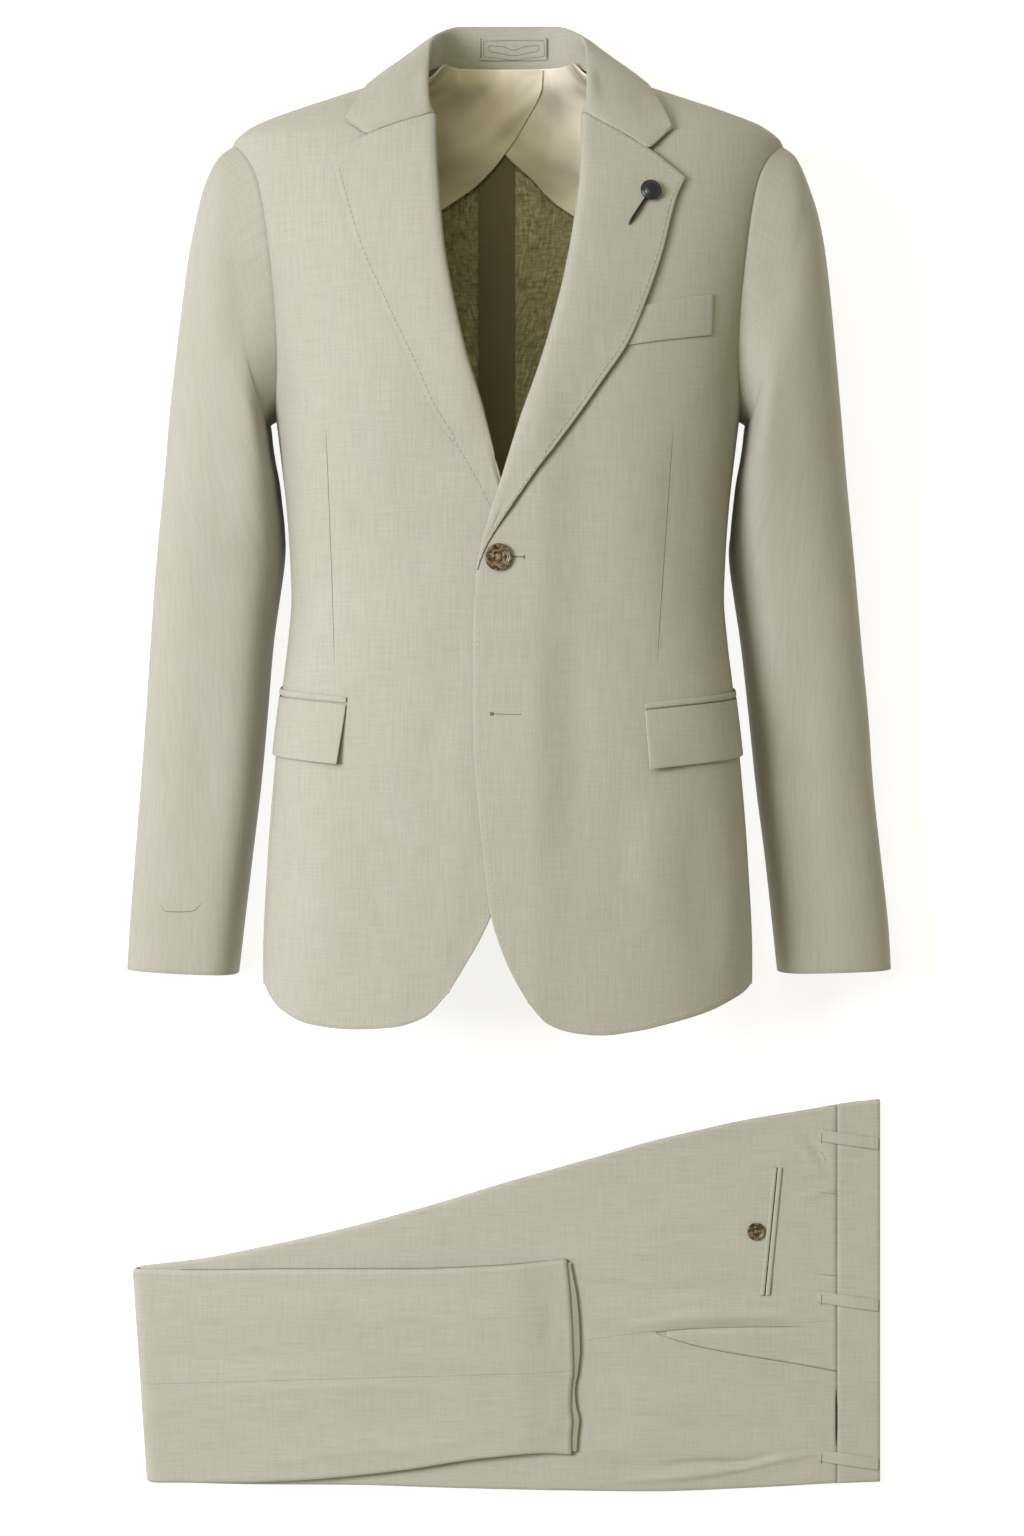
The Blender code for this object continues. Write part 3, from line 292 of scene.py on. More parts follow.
def path(points, at, keys=None):
    """Points at 0..1 along a line, by its length or by a key for each of its rows."""
    p = np.array(points, float)
    if keys is None:
        keys = lengths_to(p)
        keys = keys / keys[-1]
    keys = np.array(keys, float)
    return np.stack([smooth(keys, p[:, k], at) for k in range(p.shape[1])], axis=-1)


def along(points, n):
    return path(points, np.linspace(0, 1, n))


def step(a, b, x):
    t = np.clip((np.asarray(x, float) - a) / (b - a), 0, 1)
    return t * t * (3 - 2 * t)


def coons(left, right, low, high):
    """Fills four edges: left and right run up the rows, low and high run across the columns."""
    v = np.linspace(0, 1, len(left))[:, None, None]
    u = np.linspace(0, 1, len(low))[None, :, None]
    return ((1 - u) * left[:, None] + u * right[:, None] + (1 - v) * low[None] + v * high[None]
            - ((1 - u) * (1 - v) * low[0] + u * (1 - v) * low[-1]
               + (1 - u) * v * high[0] + u * v * high[-1]))


def between(low, high, rows):
    """Fills what lies between two edges, with straight ends."""
    return coons(np.linspace(low[0], high[0], rows), np.linspace(low[-1], high[-1], rows), low, high)


def finer(grid, times, axis):
    """More rows or columns: a smooth curve through those that are there."""
    g = np.moveaxis(np.asarray(grid, float), axis, 0)
    ends = np.concatenate([2 * g[:1] - g[1:2], g, 2 * g[-1:] - g[-2:-1]])
    at = np.linspace(0, len(g) - 1, (len(g) - 1) * times + 1)
    i = np.minimum(at.astype(int), len(g) - 2)
    t = (at - i).reshape((-1,) + (1,) * (g.ndim - 1))
    a, b, c, d = (ends[i + k] for k in range(4))
    made = .5 * (2 * b + (c - a) * t + (2 * a - 5 * b + 4 * c - d) * t ** 2
                 + (3 * b - a - 3 * c + d) * t ** 3)
    return np.moveaxis(made, 0, axis)


def on_side(grid, side):
    """Places of the wearer's left half, mirrored if they belong to the right one."""
    return grid * np.array([side, 1, 1])


def folds(places, marks, only=1.0):
    """Height of soft folds at places x, y. A mark is a line in millimetres, a width and a height."""
    high = np.zeros(places.shape[:-1])
    for line, wide, rise in marks:
        p = along(np.array(line, float) * MM, 17)
        near = np.full(high.shape, 9.0)
        where = np.zeros(high.shape)
        for k in range(len(p) - 1):
            d = p[k + 1] - p[k]
            t = np.clip(((places - p[k]) @ d) / (d @ d), 0, 1)
            far = np.linalg.norm(places - p[k] - t[..., None] * d, axis=-1)
            where = np.where(far < near, (k + t) / (len(p) - 1), where)
            near = np.minimum(near, far)
        ends = np.sin(math.pi * np.clip(where, .02, .98)) ** .6
        high += rise * MM * np.exp(-(near / (wide * MM)) ** 2) * ends
    return high * only


# ---------------------------------------------------------------- making the pieces

MADE = {}                                   # each node's cloth: its outer surface and its normals
ROUND_EDGE = ((-.71, .71), (0, 1), (.71, .71))  # round a cloth's edge: share of its thickness, and out
LEAST_FILL = .301                           # share of its flat size that a cut fills at least


def mesh_object(name, verts, faces, material, uv=None):
    mesh = bpy.data.meshes.new(name)
    mesh.from_pydata((np.asarray(verts) + SHIFT).tolist(), [], faces)
    mesh.materials.append(material)
    mesh.shade_smooth()
    if uv is not None:
        corner = np.zeros(len(mesh.loops), int)
        mesh.loops.foreach_get("vertex_index", corner)
        layer = mesh.uv_layers.new(name="cloth")
        layer.data.foreach_set("uv", uv[corner].astype(np.float32).ravel())
    ob = bpy.data.objects.new(name, mesh)
    bpy.context.scene.collection.objects.link(ob)
    return ob


def stands_for(ob, slot, *nodes):
    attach(ob, "root")
    if nodes:
        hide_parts(*nodes)
    return ob


def drawn_in(grid, gap):
    """Draws the border of a grid in along the cloth."""
    def moved(border, inner):
        return border + unit(inner - border) * gap
    g = grid.copy()
    g[0], g[-1] = moved(grid[0], grid[1]), moved(grid[-1], grid[-2])
    h = g.copy()
    h[:, 0], h[:, -1] = moved(g[:, 0], g[:, 1]), moved(g[:, -1], g[:, -2])
    return h


def normals_of(grid, outside):
    """Normals that face the outside, and the sign that turns them there."""
    n = unit(np.cross(np.gradient(grid, axis=1), np.gradient(grid, axis=0)))
    sign = 1 if np.sum(n * outside) > 0 else -1
    return n * sign, sign


def lengths(grid):
    """Lengths along the cloth from its first column and from its first row."""
    across = np.linalg.norm(np.diff(grid, axis=1), axis=-1)
    up = np.linalg.norm(np.diff(grid, axis=0), axis=-1)
    u = np.pad(np.cumsum(across, axis=1), ((0, 0), (1, 0)))
    v = np.pad(np.cumsum(up, axis=0), ((1, 0), (0, 0)))
    return u, v


def cloth(node, grid, thick, outside, held, rests_on, uv=None, gap=SEAM, edge=.0005,
          finish=LINEN, inside=None, slot="linen", offset=0):
    """A shell of cloth in a node's place, on its middle surface, with rounded edges. Its thickness is one
    number, or one for each place."""
    grid = drawn_in(grid, gap + edge)
    n, sign = normals_of(grid, outside)
    thick = np.broadcast_to(thick, grid.shape[:2])[..., None]
    grid = grid + n * thick / 2 * offset
    rows, cols = grid.shape[:2]
    if uv is None:
        uv = np.stack(lengths(grid), -1)
    loop = ([(0, j) for j in range(cols)] + [(i, cols - 1) for i in range(1, rows)]
            + [(rows - 1, j) for j in range(cols - 2, -1, -1)] + [(i, 0) for i in range(rows - 2, 0, -1)])
    i, j = np.array(loop).T
    inner = grid[np.clip(i, 1, rows - 2), np.clip(j, 1, cols - 2)]
    away = grid[i, j] - inner
    away = unit(away - n[i, j] * np.sum(away * n[i, j], axis=-1, keepdims=True))
    rings = [grid[i, j] + n[i, j] * (thick[i, j] / 2 * s) + away * (edge * c) for s, c in ROUND_EDGE]
    under, over = grid - n * thick / 2, grid + n * thick / 2
    count, border = rows * cols, len(loop)
    verts = np.concatenate([under.reshape(-1, 3), over.reshape(-1, 3)] + rings)
    flat = np.concatenate([uv.reshape(-1, 2)] * 2 + [uv[i, j]] * 3)
    index = np.arange(count).reshape(rows, cols)
    quads = np.stack([index[:-1, :-1], index[:-1, 1:], index[1:, 1:], index[1:, :-1]], -1).reshape(-1, 4)
    around = [index[i, j]] + [2 * count + k * border + np.arange(border) for k in range(3)]
    around += [count + index[i, j]]
    sides = [np.stack([a, np.roll(a, -1), np.roll(b, -1), b], -1) for a, b in zip(around, around[1:])]
    faces = np.concatenate([quads[:, ::-1], quads + count] + sides)
    if sign < 0:
        faces = faces[:, ::-1]
    ob = mesh_object(node + "_cloth", verts, faces.tolist(), finish, flat)
    if inside is not None:
        ob.data.materials.append(inside)
        which = np.zeros(len(faces), np.int32)
        which[:len(quads)] = 1
        ob.data.polygons.foreach_set("material_index", which)
    stands_for(ob, slot, node)
    u, v = lengths(grid)
    wide, long = max(float(u[:, -1].max()), .01), max(float(v[-1].max()), .01)
    corner = grid[:-1, :-1]
    area = np.linalg.norm(np.cross(grid[:-1, 1:] - corner, grid[1:, :-1] - corner), axis=-1)
    area = float(np.clip(area.sum(), LEAST_FILL * wide * long, wide * long))
    MADE[node] = (over, n)


def tree(*nodes):
    """The made cloth of some nodes, to drop other places on."""
    verts, faces = [], []
    for node in nodes:
        mesh = bpy.data.objects[node + "_cloth"].data
        base = len(verts)
        verts += [v.co - Vector(SHIFT) for v in mesh.vertices]
        faces += [[base + k for k in p.vertices] for p in mesh.polygons]
    return BVHTree.FromPolygons(verts, faces)


CENTRE, BESIDE_CENTRE = .0010, .0012        # the centre seam's gap, and a place clear of it
BESIDE_GAP = .0004                          # far enough from a gap to meet one of the two pieces
FROM_INSIDE, FROM_ABOVE = .2, .3            # heights inside the jacket and above it, to drop places from


def drop(under, x, y, start):
    """Height of the cloth straight below each place x, y."""
    x, y = np.broadcast_arrays(np.asarray(x, float), np.asarray(y, float))
    z = np.zeros(x.shape)
    for i in np.ndindex(x.shape):
        place = Vector((x[i] + (BESIDE_CENTRE if abs(x[i]) < CENTRE else 0), y[i], start))
        hit = under.ray_cast(place, Vector((0, 0, -1)))[0]
        if hit is None:                     # it fell between two pieces
            place += Vector((BESIDE_GAP, BESIDE_GAP, 0))
            hit = under.ray_cast(place, Vector((0, 0, -1)))[0]
        z[i] = hit.z
    return z


def line_on(node, border, inset):
    """Points and normals that run along a border of a node's cloth, a little way in from it."""
    grid, n = MADE[node]
    if border in ("low", "high"):
        grid, n = grid.swapaxes(0, 1), n.swapaxes(0, 1)
    if border in ("right", "high"):
        grid, n = grid[:, ::-1], n[:, ::-1]
    points, facing = [], []
    for row, away in zip(grid, n):
        run = lengths_to(row[:12])
        points.append([np.interp(inset, run, row[:12, k]) for k in range(3)])
        facing.append(away[3])
    return np.array(points), np.array(facing)


# a stitch: places along its length, and its thickness at each as a share
SPINDLE = ((-.5, .35), (-.28, 1), (.28, 1), (.5, .35))
STITCH_PITCH, STITCH_LONG, STITCH_THICK = .0052, .0019, .00036
STITCH_SUNK = .7                            # how deep its axis lies in the cloth, as a share


def stitches(name, runs, share=1):
    """Short threads along lines on the cloth: each a small spindle half sunk into it."""
    verts, faces = [], []
    ring = np.radians(np.arange(0, 360, 60))
    for points, facing in runs:
        run = lengths_to(points)
        for s in np.arange(STITCH_PITCH / 2, run[-1] * share - STITCH_PITCH / 2, STITCH_PITCH):
            here, ahead = (np.array([np.interp(t, run, points[:, k]) for k in range(3)])
                           for t in (s, s + .001))
            up = unit(np.array([np.interp(s, run, facing[:, k]) for k in range(3)]))
            way = unit(ahead - here)
            side = np.cross(up, way)
            base = len(verts)
            for t, r in SPINDLE:
                centre = here + way * (t * STITCH_LONG) + up * (STITCH_THICK * (r * .9 - STITCH_SUNK))
                verts += [centre + (side * math.cos(a) + up * math.sin(a)) * STITCH_THICK * r for a in ring]
            for k in range(3):
                for q in range(6):
                    a, b = base + k * 6 + q, base + k * 6 + (q + 1) % 6
                    faces.append((a, b, b + 6, a + 6))
            faces.append(tuple(range(base + 5, base - 1, -1)))
            faces.append(tuple(range(base + 18, base + 24)))
    stands_for(mesh_object(name, verts, faces, THREAD), "linen")


def tube(name, lines, radius, finish, slot, sides=8, taper=None):
    """Round threads, wires, piping or thin dark lines of painted shade along lines of points."""
    verts, faces = [], []
    ring = np.linspace(0, 2 * math.pi, sides, endpoint=False)
    for line in lines:
        line = np.array(line, float)
        way = unit(np.gradient(line, axis=0))
        side = unit(np.cross(way, UP))
        up = np.cross(side, way)
        size = np.full(len(line), radius) if taper is None else radius * np.interp(
            np.linspace(0, 1, len(line)), *taper)
        base = len(verts)
        for k in range(len(line)):
            verts += [line[k] + (side[k] * math.cos(a) + up[k] * math.sin(a)) * size[k] for a in ring]
        for k in range(len(line) - 1):
            for q in range(sides):
                a, b = base + k * sides + q, base + k * sides + (q + 1) % sides
                faces.append((a, a + sides, b + sides, b))
        faces.append(tuple(range(base, base + sides)))
        faces.append(tuple(range(base + len(line) * sides - 1, base + (len(line) - 1) * sides - 1, -1)))
    return stands_for(mesh_object(name, verts, faces, finish), slot)


# ---------------------------------------------------------------- the worn form of the jacket

# half: half the width. ridge: height of the widest place. front, back: height at the middle
TORSO = table(
    "height half ridge front back",
    (-.215, .1975, .098, .190, .000),
    (-.164, .1982, .098, .193, .000),
    (-.080, .1944, .098, .197, .000),
    (.001, .1880, .098, .198, .000),
    (.056, .1826, .098, .197, .000),
    (.094, .1780, .098, .197, .000),
    (.129, .1752, .098, .198, .000),
    (.161, .1763, .098, .200, .000),
    (.197, .1787, .098, .204, .000),
    (.251, .1846, .098, .211, .000),
    (.286, .1890, .098, .215, .000),
    (.332, .1950, .099, .217, .000),
    (.381, .2035, .100, .215, .000),
    (.426, .2125, .101, .208, .000),
    (.468, .2195, .102, .195, .002),
    (.494, .2225, .102, .184, .006),
    (.506, .2110, .102, .176, .009),
    (.519, .1810, .102, .166, .012),
    (.532, .1440, .102, .154, .016),
    (.545, .1080, .101, .138, .020),
    (.553, .0860, .100, .125, .023),
    (.561, .0680, .099, .112, .026),
    (.578, .0550, .096, .100, .032))
ROUND_FRONT, ROUND_BACK = 2.6, 3.6      # 2 is an ellipse, more is squarer
PRESSED = 1.012                         # the back is pressed flat where it lies
SHOULDER = .494                         # height of the shoulder tip
NECK_SIDE = .553                        # height where the shoulder seam meets the collar
HEM_SIDE = -.182                        # height of the hem at the side and back
HEM_ARCH, ARCH_HALF = .054, .045        # how far the back's hem rises in the middle, and over what width

# the wearer's left front stands off to pass over the right front and the lower button
OVERLAP = table("height off", (-.22, .0026), (-.14, .0030), (-.02, .0056), (.20, .0056), (.30, 0))
OVERLAP_ENDS = (.035, .095)


def column(name, y):
    return smooth(TORSO["height"], TORSO[name], y)


def front_z(x, y):
    r = np.clip(np.abs(x) / column("half", y), 0, 1)
    rise = column("front", y) - column("ridge", y)
    return column("ridge", y) + rise * (1 - r ** ROUND_FRONT) ** (1 / ROUND_FRONT)


STEP_ROUND, STEP_UP = 5e-4, 1e-4            # steps to the places from which a normal is taken
BELOW_SHOULDER = .2


def angle_at(x, y):
    """Angle round the body of a place on the front: 0 in the middle, 90 degrees at the side."""
    return np.arctan2(np.asarray(x, float), front_z(x, y) - column("ridge", y))


def stand_off(a, y):
    x = column("half", y) * np.sin(a)
    off = smooth(OVERLAP["height"], OVERLAP["off"], y) * (1 - step(*OVERLAP_ENDS, x))
    return off * (np.cos(a) > 0) * step(-.2, -.1, x)


def bare(a, y, left):
    a, y = np.broadcast_arrays(np.asarray(a, float), np.asarray(y, float))
    s, c = np.sin(a), np.cos(a)
    half, ridge = column("half", y), column("ridge", y)
    n = np.where(c >= 0, ROUND_FRONT, ROUND_BACK)
    b = np.where(c >= 0, column("front", y) - ridge, (ridge - column("back", y)) * PRESSED)
    r = ((np.abs(s) / half) ** n + (np.abs(c) / b) ** n) ** (-1 / n)
    z = np.maximum(ridge + r * c, 0)
    if left:
        z = z + stand_off(a, y)
    return np.stack([r * s, y, z], axis=-1)


def torso(a, y, out=0.0, left=False):
    """Point of the worn form at angle a and height y, moved out along the normal."""
    a, y = np.asarray(a, float), np.asarray(y, float)
    p = bare(a, y, left)
    across = bare(a + STEP_ROUND, y, left) - bare(a - STEP_ROUND, y, left)
    up = bare(a, y + STEP_UP, left) - bare(a, y - STEP_UP, left)
    n = unit(np.cross(up, across))
    # a place inside at the same height, or well below the shoulders
    core = np.stack([0 * y, y - BELOW_SHOULDER * (y > SHOULDER), 0 * y + MIDDLE[2]], axis=-1)
    n = np.where(np.sum(n * (p - core), axis=-1, keepdims=True) < 0, -n, n)
    return p + n * np.asarray(out)[..., None]


def girth(a, y):
    """Length round the body from the middle of the front to the angle a."""
    t = np.linspace(0, 1, 25)
    p = bare(a[..., None] * t, y[..., None] + 0 * t, False)
    return np.linalg.norm(np.diff(p, axis=-2), axis=-1).sum(axis=-1)


def panel(node, domain, side, held="draped", rests_on=(), thick=CLOTH, out=0.0, gap=SEAM,
          passes_over=False, marks=(), inside=None, edge=.0005):
    """A piece of cloth on the worn form, over places round the body given as angle and height."""
    a, y = domain[..., 0], domain[..., 1]
    flat = torso(a, y, 0 * a, passes_over)[..., :2] * (side, 1)
    raised = folds(flat, marks) * (np.cos(a) > -.2)
    grid = on_side(torso(a, y, out - thick / 2 + raised, passes_over), side)
    uv = np.stack([girth(a, y) * side, y], -1)
    cloth(node, grid, thick, (grid - MIDDLE) * LEVEL, held, rests_on, uv, gap, edge, inside=inside)


def on_front(places):
    """Places x, y on the front in millimetres, as angle and height."""
    p = np.array(places, float) * MM
    return np.stack([angle_at(p[:, 0], p[:, 1]), p[:, 1]], axis=-1)


def at_degrees(*rows):
    """Places round the body, given as degrees and height, as angle and height."""
    degrees, height = np.array(rows, float).T
    return np.stack([np.radians(degrees), height], axis=-1)


# angle at the hem, and place on the armhole, of the seams before and behind the side body
FRONT_SEAM, BACK_SEAM = (82.0, 157.0), (118.0, 220.0)
ARMHOLE_MIDDLE, ARMHOLE_HALF, ARMHOLE_REACH = .385, .109, 18.3
NECK = at_degrees((38.8, .502), (64, .534), (90, NECK_SIDE), (118, .567), (150, .574), (180, .575))
NECK_BACK = NECK[-1, 1]
SEAM_ROWS, ARM_ROWS, TOP_ROWS = 92, 54, 18


def armhole(t):
    """Armhole: t 0 at the shoulder tip, 90 in front, 180 under the arm, 270 behind."""
    t = np.radians(np.asarray(t, float))
    s, c = np.sin(t), np.cos(t)
    a = np.radians(90 - ARMHOLE_REACH * np.sign(s) * np.abs(s) ** .8)
    y = ARMHOLE_MIDDLE + ARMHOLE_HALF * np.sign(c) * np.abs(c) ** .85
    return np.stack([a, y], axis=-1)


def seam_line(seam, n):
    t = np.linspace(0, 1, n)[:, None]
    return np.array([math.radians(seam[0]), HEM_SIDE]) * (1 - t) + armhole(seam[1]) * t


def outer_edge(seam, tip):
    """Side seam, armhole and shoulder seam: the outer side of a front or back."""
    arm = armhole(np.linspace(seam[1], tip, ARM_ROWS + 1))
    y = np.linspace(SHOULDER, NECK_SIDE, TOP_ROWS)
    top = np.stack([np.full(len(y), math.pi / 2), y], axis=-1)
    return np.concatenate([seam_line(seam, SEAM_ROWS + 1)[:-1], arm[:-1], top])


# edges of the fronts in millimetres, x from the middle: from the rounded corner of the hem up the
# front edge and the roll line to the neck, and from that corner along the hem
EDGE = {1: [(16, -191), (2, -166), (-7, -144), (-14, -119), (-19, -77), (-23, -38), (-26, -1),
            (-27, 45), (-27, 84), (-26, 123), (-24, 146), (-19, 166), (-8, 195), (12, 251),
            (25, 288), (38, 330), (49, 373), (56, 411), (61, 450), (62, 502)],
        -1: [(46, -183), (32, -160), (21, -141), (13, -124), (-4, -79), (-17, -17), (-21, 45),
             (-22, 100), (-22, 138), (-16, 152), (-8, 166), (7, 209), (18, 246), (28, 282),
             (38, 317), (47, 357), (54, 397), (58, 439), (60, 470), (61, 502)]}
HEM = {1: [(16, -191), (32, -208), (52, -215), (74, -217), (102, -214), (130, -208), (159, -200),
           (178, -192)],
       -1: [(46, -183), (66, -203), (91, -211), (125, -213), (157, -210), (180, -200)]}
BREAK = {1: 10, -1: 9}                      # row of EDGE where the lapel starts to turn
TIP_ON_EDGE = .985                          # share of the front edge below the shoulder tip's row
FRONT_COLS, SIDE_COLS, BACK_COLS = 62, 17, 49

# soft folds of the fronts: a line in millimetres, its width and its height
FRONT_FOLDS = {
    1: [
        ([(20, 120), (46, 60), (62, -20), (70, -120)], 22, -1.3),
        ([(4, 150), (50, 118), (96, 60)], 14, .8), ([(150, -20), (147, -90), (156, -170)], 13, -1.4),
        ([(120, -16), (112, -90), (118, -160)], 17, 1.1),
        ([(172, -30), (176, -100), (172, -180)], 9, 1.4), ([(52, -60), (40, -130), (46, -195)], 18, .9),
        ([(86, 30), (92, -60), (84, -150)], 12, -.7), ([(155, 262), (140, 200), (138, 120)], 16, -.9),
        ([(186, 330), (170, 290), (150, 262)], 10, -.9), ([(92, 300), (100, 230), (92, 160)], 24, .9)],
    -1: [
        ([(-186, -12), (-178, -70), (-183, -150), (-178, -180)], 9, -3.0),
        ([(-150, -30), (-146, -110), (-156, -196)], 16, .9),
        ([(-28, 130), (-52, 60), (-60, -40)], 18, -.9), ([(-40, 40), (-36, -50), (-48, -150)], 13, .8),
        ([(-100, 20), (-106, -70), (-96, -160)], 18, -.7),
        ([(-187, 330), (-172, 292), (-156, 262)], 10, -.9),
        ([(-160, 250), (-148, 190), (-142, 120)], 14, -.7),
        ([(-84, 300), (-96, 220), (-90, 150)], 22, .9)]}
DARTS = {1: [(129, 257), (123, 163), (117, 73)], -1: [(-142, 257), (-139, 164), (-136, 73)]}


def front(word, side):
    right = outer_edge(FRONT_SEAM, 0)
    rows = np.concatenate([np.linspace(0, TIP_ON_EDGE, SEAM_ROWS + ARM_ROWS + 1)[:-1],
                           np.linspace(TIP_ON_EDGE, 1, TOP_ROWS)])
    left = path(on_front(EDGE[side]), rows)
    left[-1] = NECK[0]
    low = along(np.concatenate([on_front(HEM[side]), right[:1]]), FRONT_COLS)
    low[0] = left[0]
    domain = coons(left, right, low, along(NECK[:3], FRONT_COLS))
    panel("front_" + word, domain, side, rests_on=["side_" + word, "back_" + word], passes_over=side > 0,
          marks=FRONT_FOLDS[side] + [(DARTS[side], 5, -.6)], inside=LINEN_INSIDE_PAINTED_LIGHT_AND_SHADE)


def side_body(word, side):
    low = np.linspace(seam_line(FRONT_SEAM, 2)[0], seam_line(BACK_SEAM, 2)[0], SIDE_COLS)
    high = armhole(np.linspace(FRONT_SEAM[1], BACK_SEAM[1], SIDE_COLS))
    fore, hind = seam_line(FRONT_SEAM, SEAM_ROWS + 1), seam_line(BACK_SEAM, SEAM_ROWS + 1)
    panel("side_" + word, coons(fore, hind, low, high), side, rests_on=["back_" + word],
          inside=LINEN_INSIDE_PAINTED_LIGHT_AND_SHADE)


def back(word, side):
    right = outer_edge(BACK_SEAM, 360)
    left = np.linspace((math.pi, HEM_SIDE + HEM_ARCH), (math.pi, NECK_BACK), len(right))
    a = np.linspace(math.pi, right[0, 0], BACK_COLS)
    x = torso(a, np.full(BACK_COLS, HEM_SIDE))[:, 0]
    low = np.stack([a, HEM_SIDE + HEM_ARCH * np.exp(-(x / ARCH_HALF) ** 2)], axis=-1)
    panel("back_" + word, coons(left, right, low, along(NECK[2:][::-1], BACK_COLS)), side,
          held="laid", inside=LINEN_INSIDE_PAINTED_LIGHT_AND_SHADE)


for side, word in WEARER:
    front(word, side)
    side_body(word, side)
    back(word, side)

# ---------------------------------------------------------------- sleeves

# a row for each ring of a sleeve: its outer place and its inner place
SLEEVE = {
    1: [
        (.2326, .4845, .1945, .2700), (.2445, .4570, .1935, .2620), (.2519, .4318, .1925, .2530),
        (.2577, .3988, .1905, .2400), (.2640, .3450, .1875, .2240), (.2705, .2830, .1855, .2060),
        (.2760, .2300, .1838, .1870), (.2840, .1600, .1832, .1600), (.2909, .0950, .1930, .0955),
        (.2974, .0368, .2000, .0368), (.3022, -.0226, .2064, -.0226), (.3088, -.0814, .2140, -.0814),
        (.3150, -.1350, .2200, -.1350), (.3175, -.1740, .2244, -.1764)],
    -1: [
        (.2330, .4850, .1945, .2700), (.2445, .4620, .1935, .2620), (.2520, .4320, .1925, .2530),
        (.2580, .4030, .1905, .2400), (.2650, .3550, .1875, .2240), (.2740, .2870, .1855, .2060),
        (.2795, .2350, .1838, .1870), (.2880, .1610, .1845, .1610), (.2938, .0980, .1938, .0980),
        (.2984, .0400, .1995, .0368), (.3030, -.0140, .2050, -.0200), (.3088, -.0839, .2128, -.0839),
        (.3130, -.1350, .2190, -.1350), (.3155, -.1740, .2240, -.1780)]}
# height of the middle of each ring, and half its depth
SLEEVE_DEEP = np.array([
    (.1000, .0640), (.0985, .0660), (.0965, .0680), (.0935, .0700), (.0885, .0710),
    (.0820, .0700), (.0755, .0670), (.0670, .0610), (.0590, .0555), (.0530, .0515),
    (.0490, .0485), (.0470, .0465), (.0455, .0450), (.0450, .0440)])
ROUND_SLEEVE = 2.8
SLEEVE_GAP = .0009                          # the sleeve starts this far outside the armhole
# its turning inside the seam, in millimetres: away from the armhole, and below the cloth's middle
TURNING = ((-3.4, 2.0), (-1.6, 2.0), (-.5, 1.7), (.2, 1.1), (.55, .5))
CREST = .16                                 # the highest place lies this much nearer to the body
# degrees round the armhole of the seams between top and under sleeve
FORE_AT, HIND_AT = 188.5, 313.33
SLEEVE_FOLDS = {
    1: [
        ([(214, 250), (236, 232), (262, 226)], 12, -1.3),
        ([(206, 190), (232, 176), (262, 186)], 14, 1.1), ([(210, 130), (236, 120), (268, 138)], 12, -.9),
        ([(230, 430), (216, 380), (212, 330)], 13, -1.0), ([(270, 100), (262, 20), (268, -60)], 14, .8),
        ([(236, 60), (242, -20), (238, -100)], 14, -.8)],
    -1: [
        ([(-208, 246), (-232, 226), (-258, 226)], 12, -1.0),
        ([(-204, 180), (-230, 170), (-262, 178)], 14, .9),
        ([(-228, 430), (-214, 380), (-210, 330)], 13, -1.0),
        ([(-276, 90), (-268, 10), (-276, -80)], 15, .7),
        ([(-236, 70), (-244, -10), (-240, -90)], 14, -.8)]}


def sleeve_grid(side, degrees):
    """The middle surface of a part of a sleeve, and directions that lead out of it."""
    angle = np.radians(degrees)
    c, s = np.cos(angle), np.sin(angle)
    c = np.sign(c) * np.abs(c) ** (2 / ROUND_SLEEVE)
    s = np.sign(s) * np.abs(s) ** (2 / ROUND_SLEEVE)
    rings = []
    for places, (mid, deep) in zip(SLEEVE[side], SLEEVE_DEEP):
        outer, inner = np.array(places[:2]), np.array(places[2:])
        reach = (outer - inner) / 2 * (1 - CLOTH / np.linalg.norm(outer - inner))
        z = mid + (deep - CLOTH / 2) * s
        lean = c - CREST * np.maximum(s, 0) * (1 - c * c)
        rings.append(np.concatenate([(outer + inner) / 2 + reach * lean[:, None], z[:, None]], axis=1))
    a, y = armhole(degrees).T
    hole = torso(a, y, np.full(len(degrees), -CLOTH / 2))
    outwards = (torso(a, y, np.full(len(degrees), MM)) - torso(a, y)) / MM
    d = unit(rings[0] - hole)
    turning = [hole + d * out * MM - outwards * below * MM for out, below in TURNING]
    g = np.concatenate([turning, finer(np.array([hole + d * SLEEVE_GAP] + rings), 9, 0)])
    g = on_side(g, side)
    middle = g.mean(axis=1)
    middle[:, 2] = np.interp(np.linspace(0, 1, len(g)), np.linspace(0, 1, len(SLEEVE_DEEP)),
                             SLEEVE_DEEP[:, 0])
    away = g - middle[:, None]
    n, _ = normals_of(g, away)
    raised = folds(g[..., :2], SLEEVE_FOLDS[side], (s > .1)[None, :] * s[None, :])
    raised[:len(TURNING) + 1] = 0
    g = g + n * raised[..., None]
    g[..., 2] = np.maximum(g[..., 2], CLOTH / 2)
    return g, away


SEWN_SLEEVE = dict(gap=.00004, edge=.0004)  # the two seams of a sleeve let no light in


def sleeve(word, side):
    for part, start, end in (("top", HIND_AT - 360, FORE_AT), ("under", FORE_AT, HIND_AT)):
        degrees = np.linspace(start, end, 64 if part == "top" else 36)
        g, away = sleeve_grid(side, degrees)
        thick = np.where(np.arange(len(g)) < len(TURNING), THIN, CLOTH)[:, None]
        cloth("sleeve_%s_%s" % (part, word), g, thick, away, "draped", ["front_" + word, "side_" + word],
              inside=SLEEVE_LINING, **SEWN_SLEEVE)


for side, word in WEARER:
    sleeve(word, side)

# ---------------------------------------------------------------- lapels

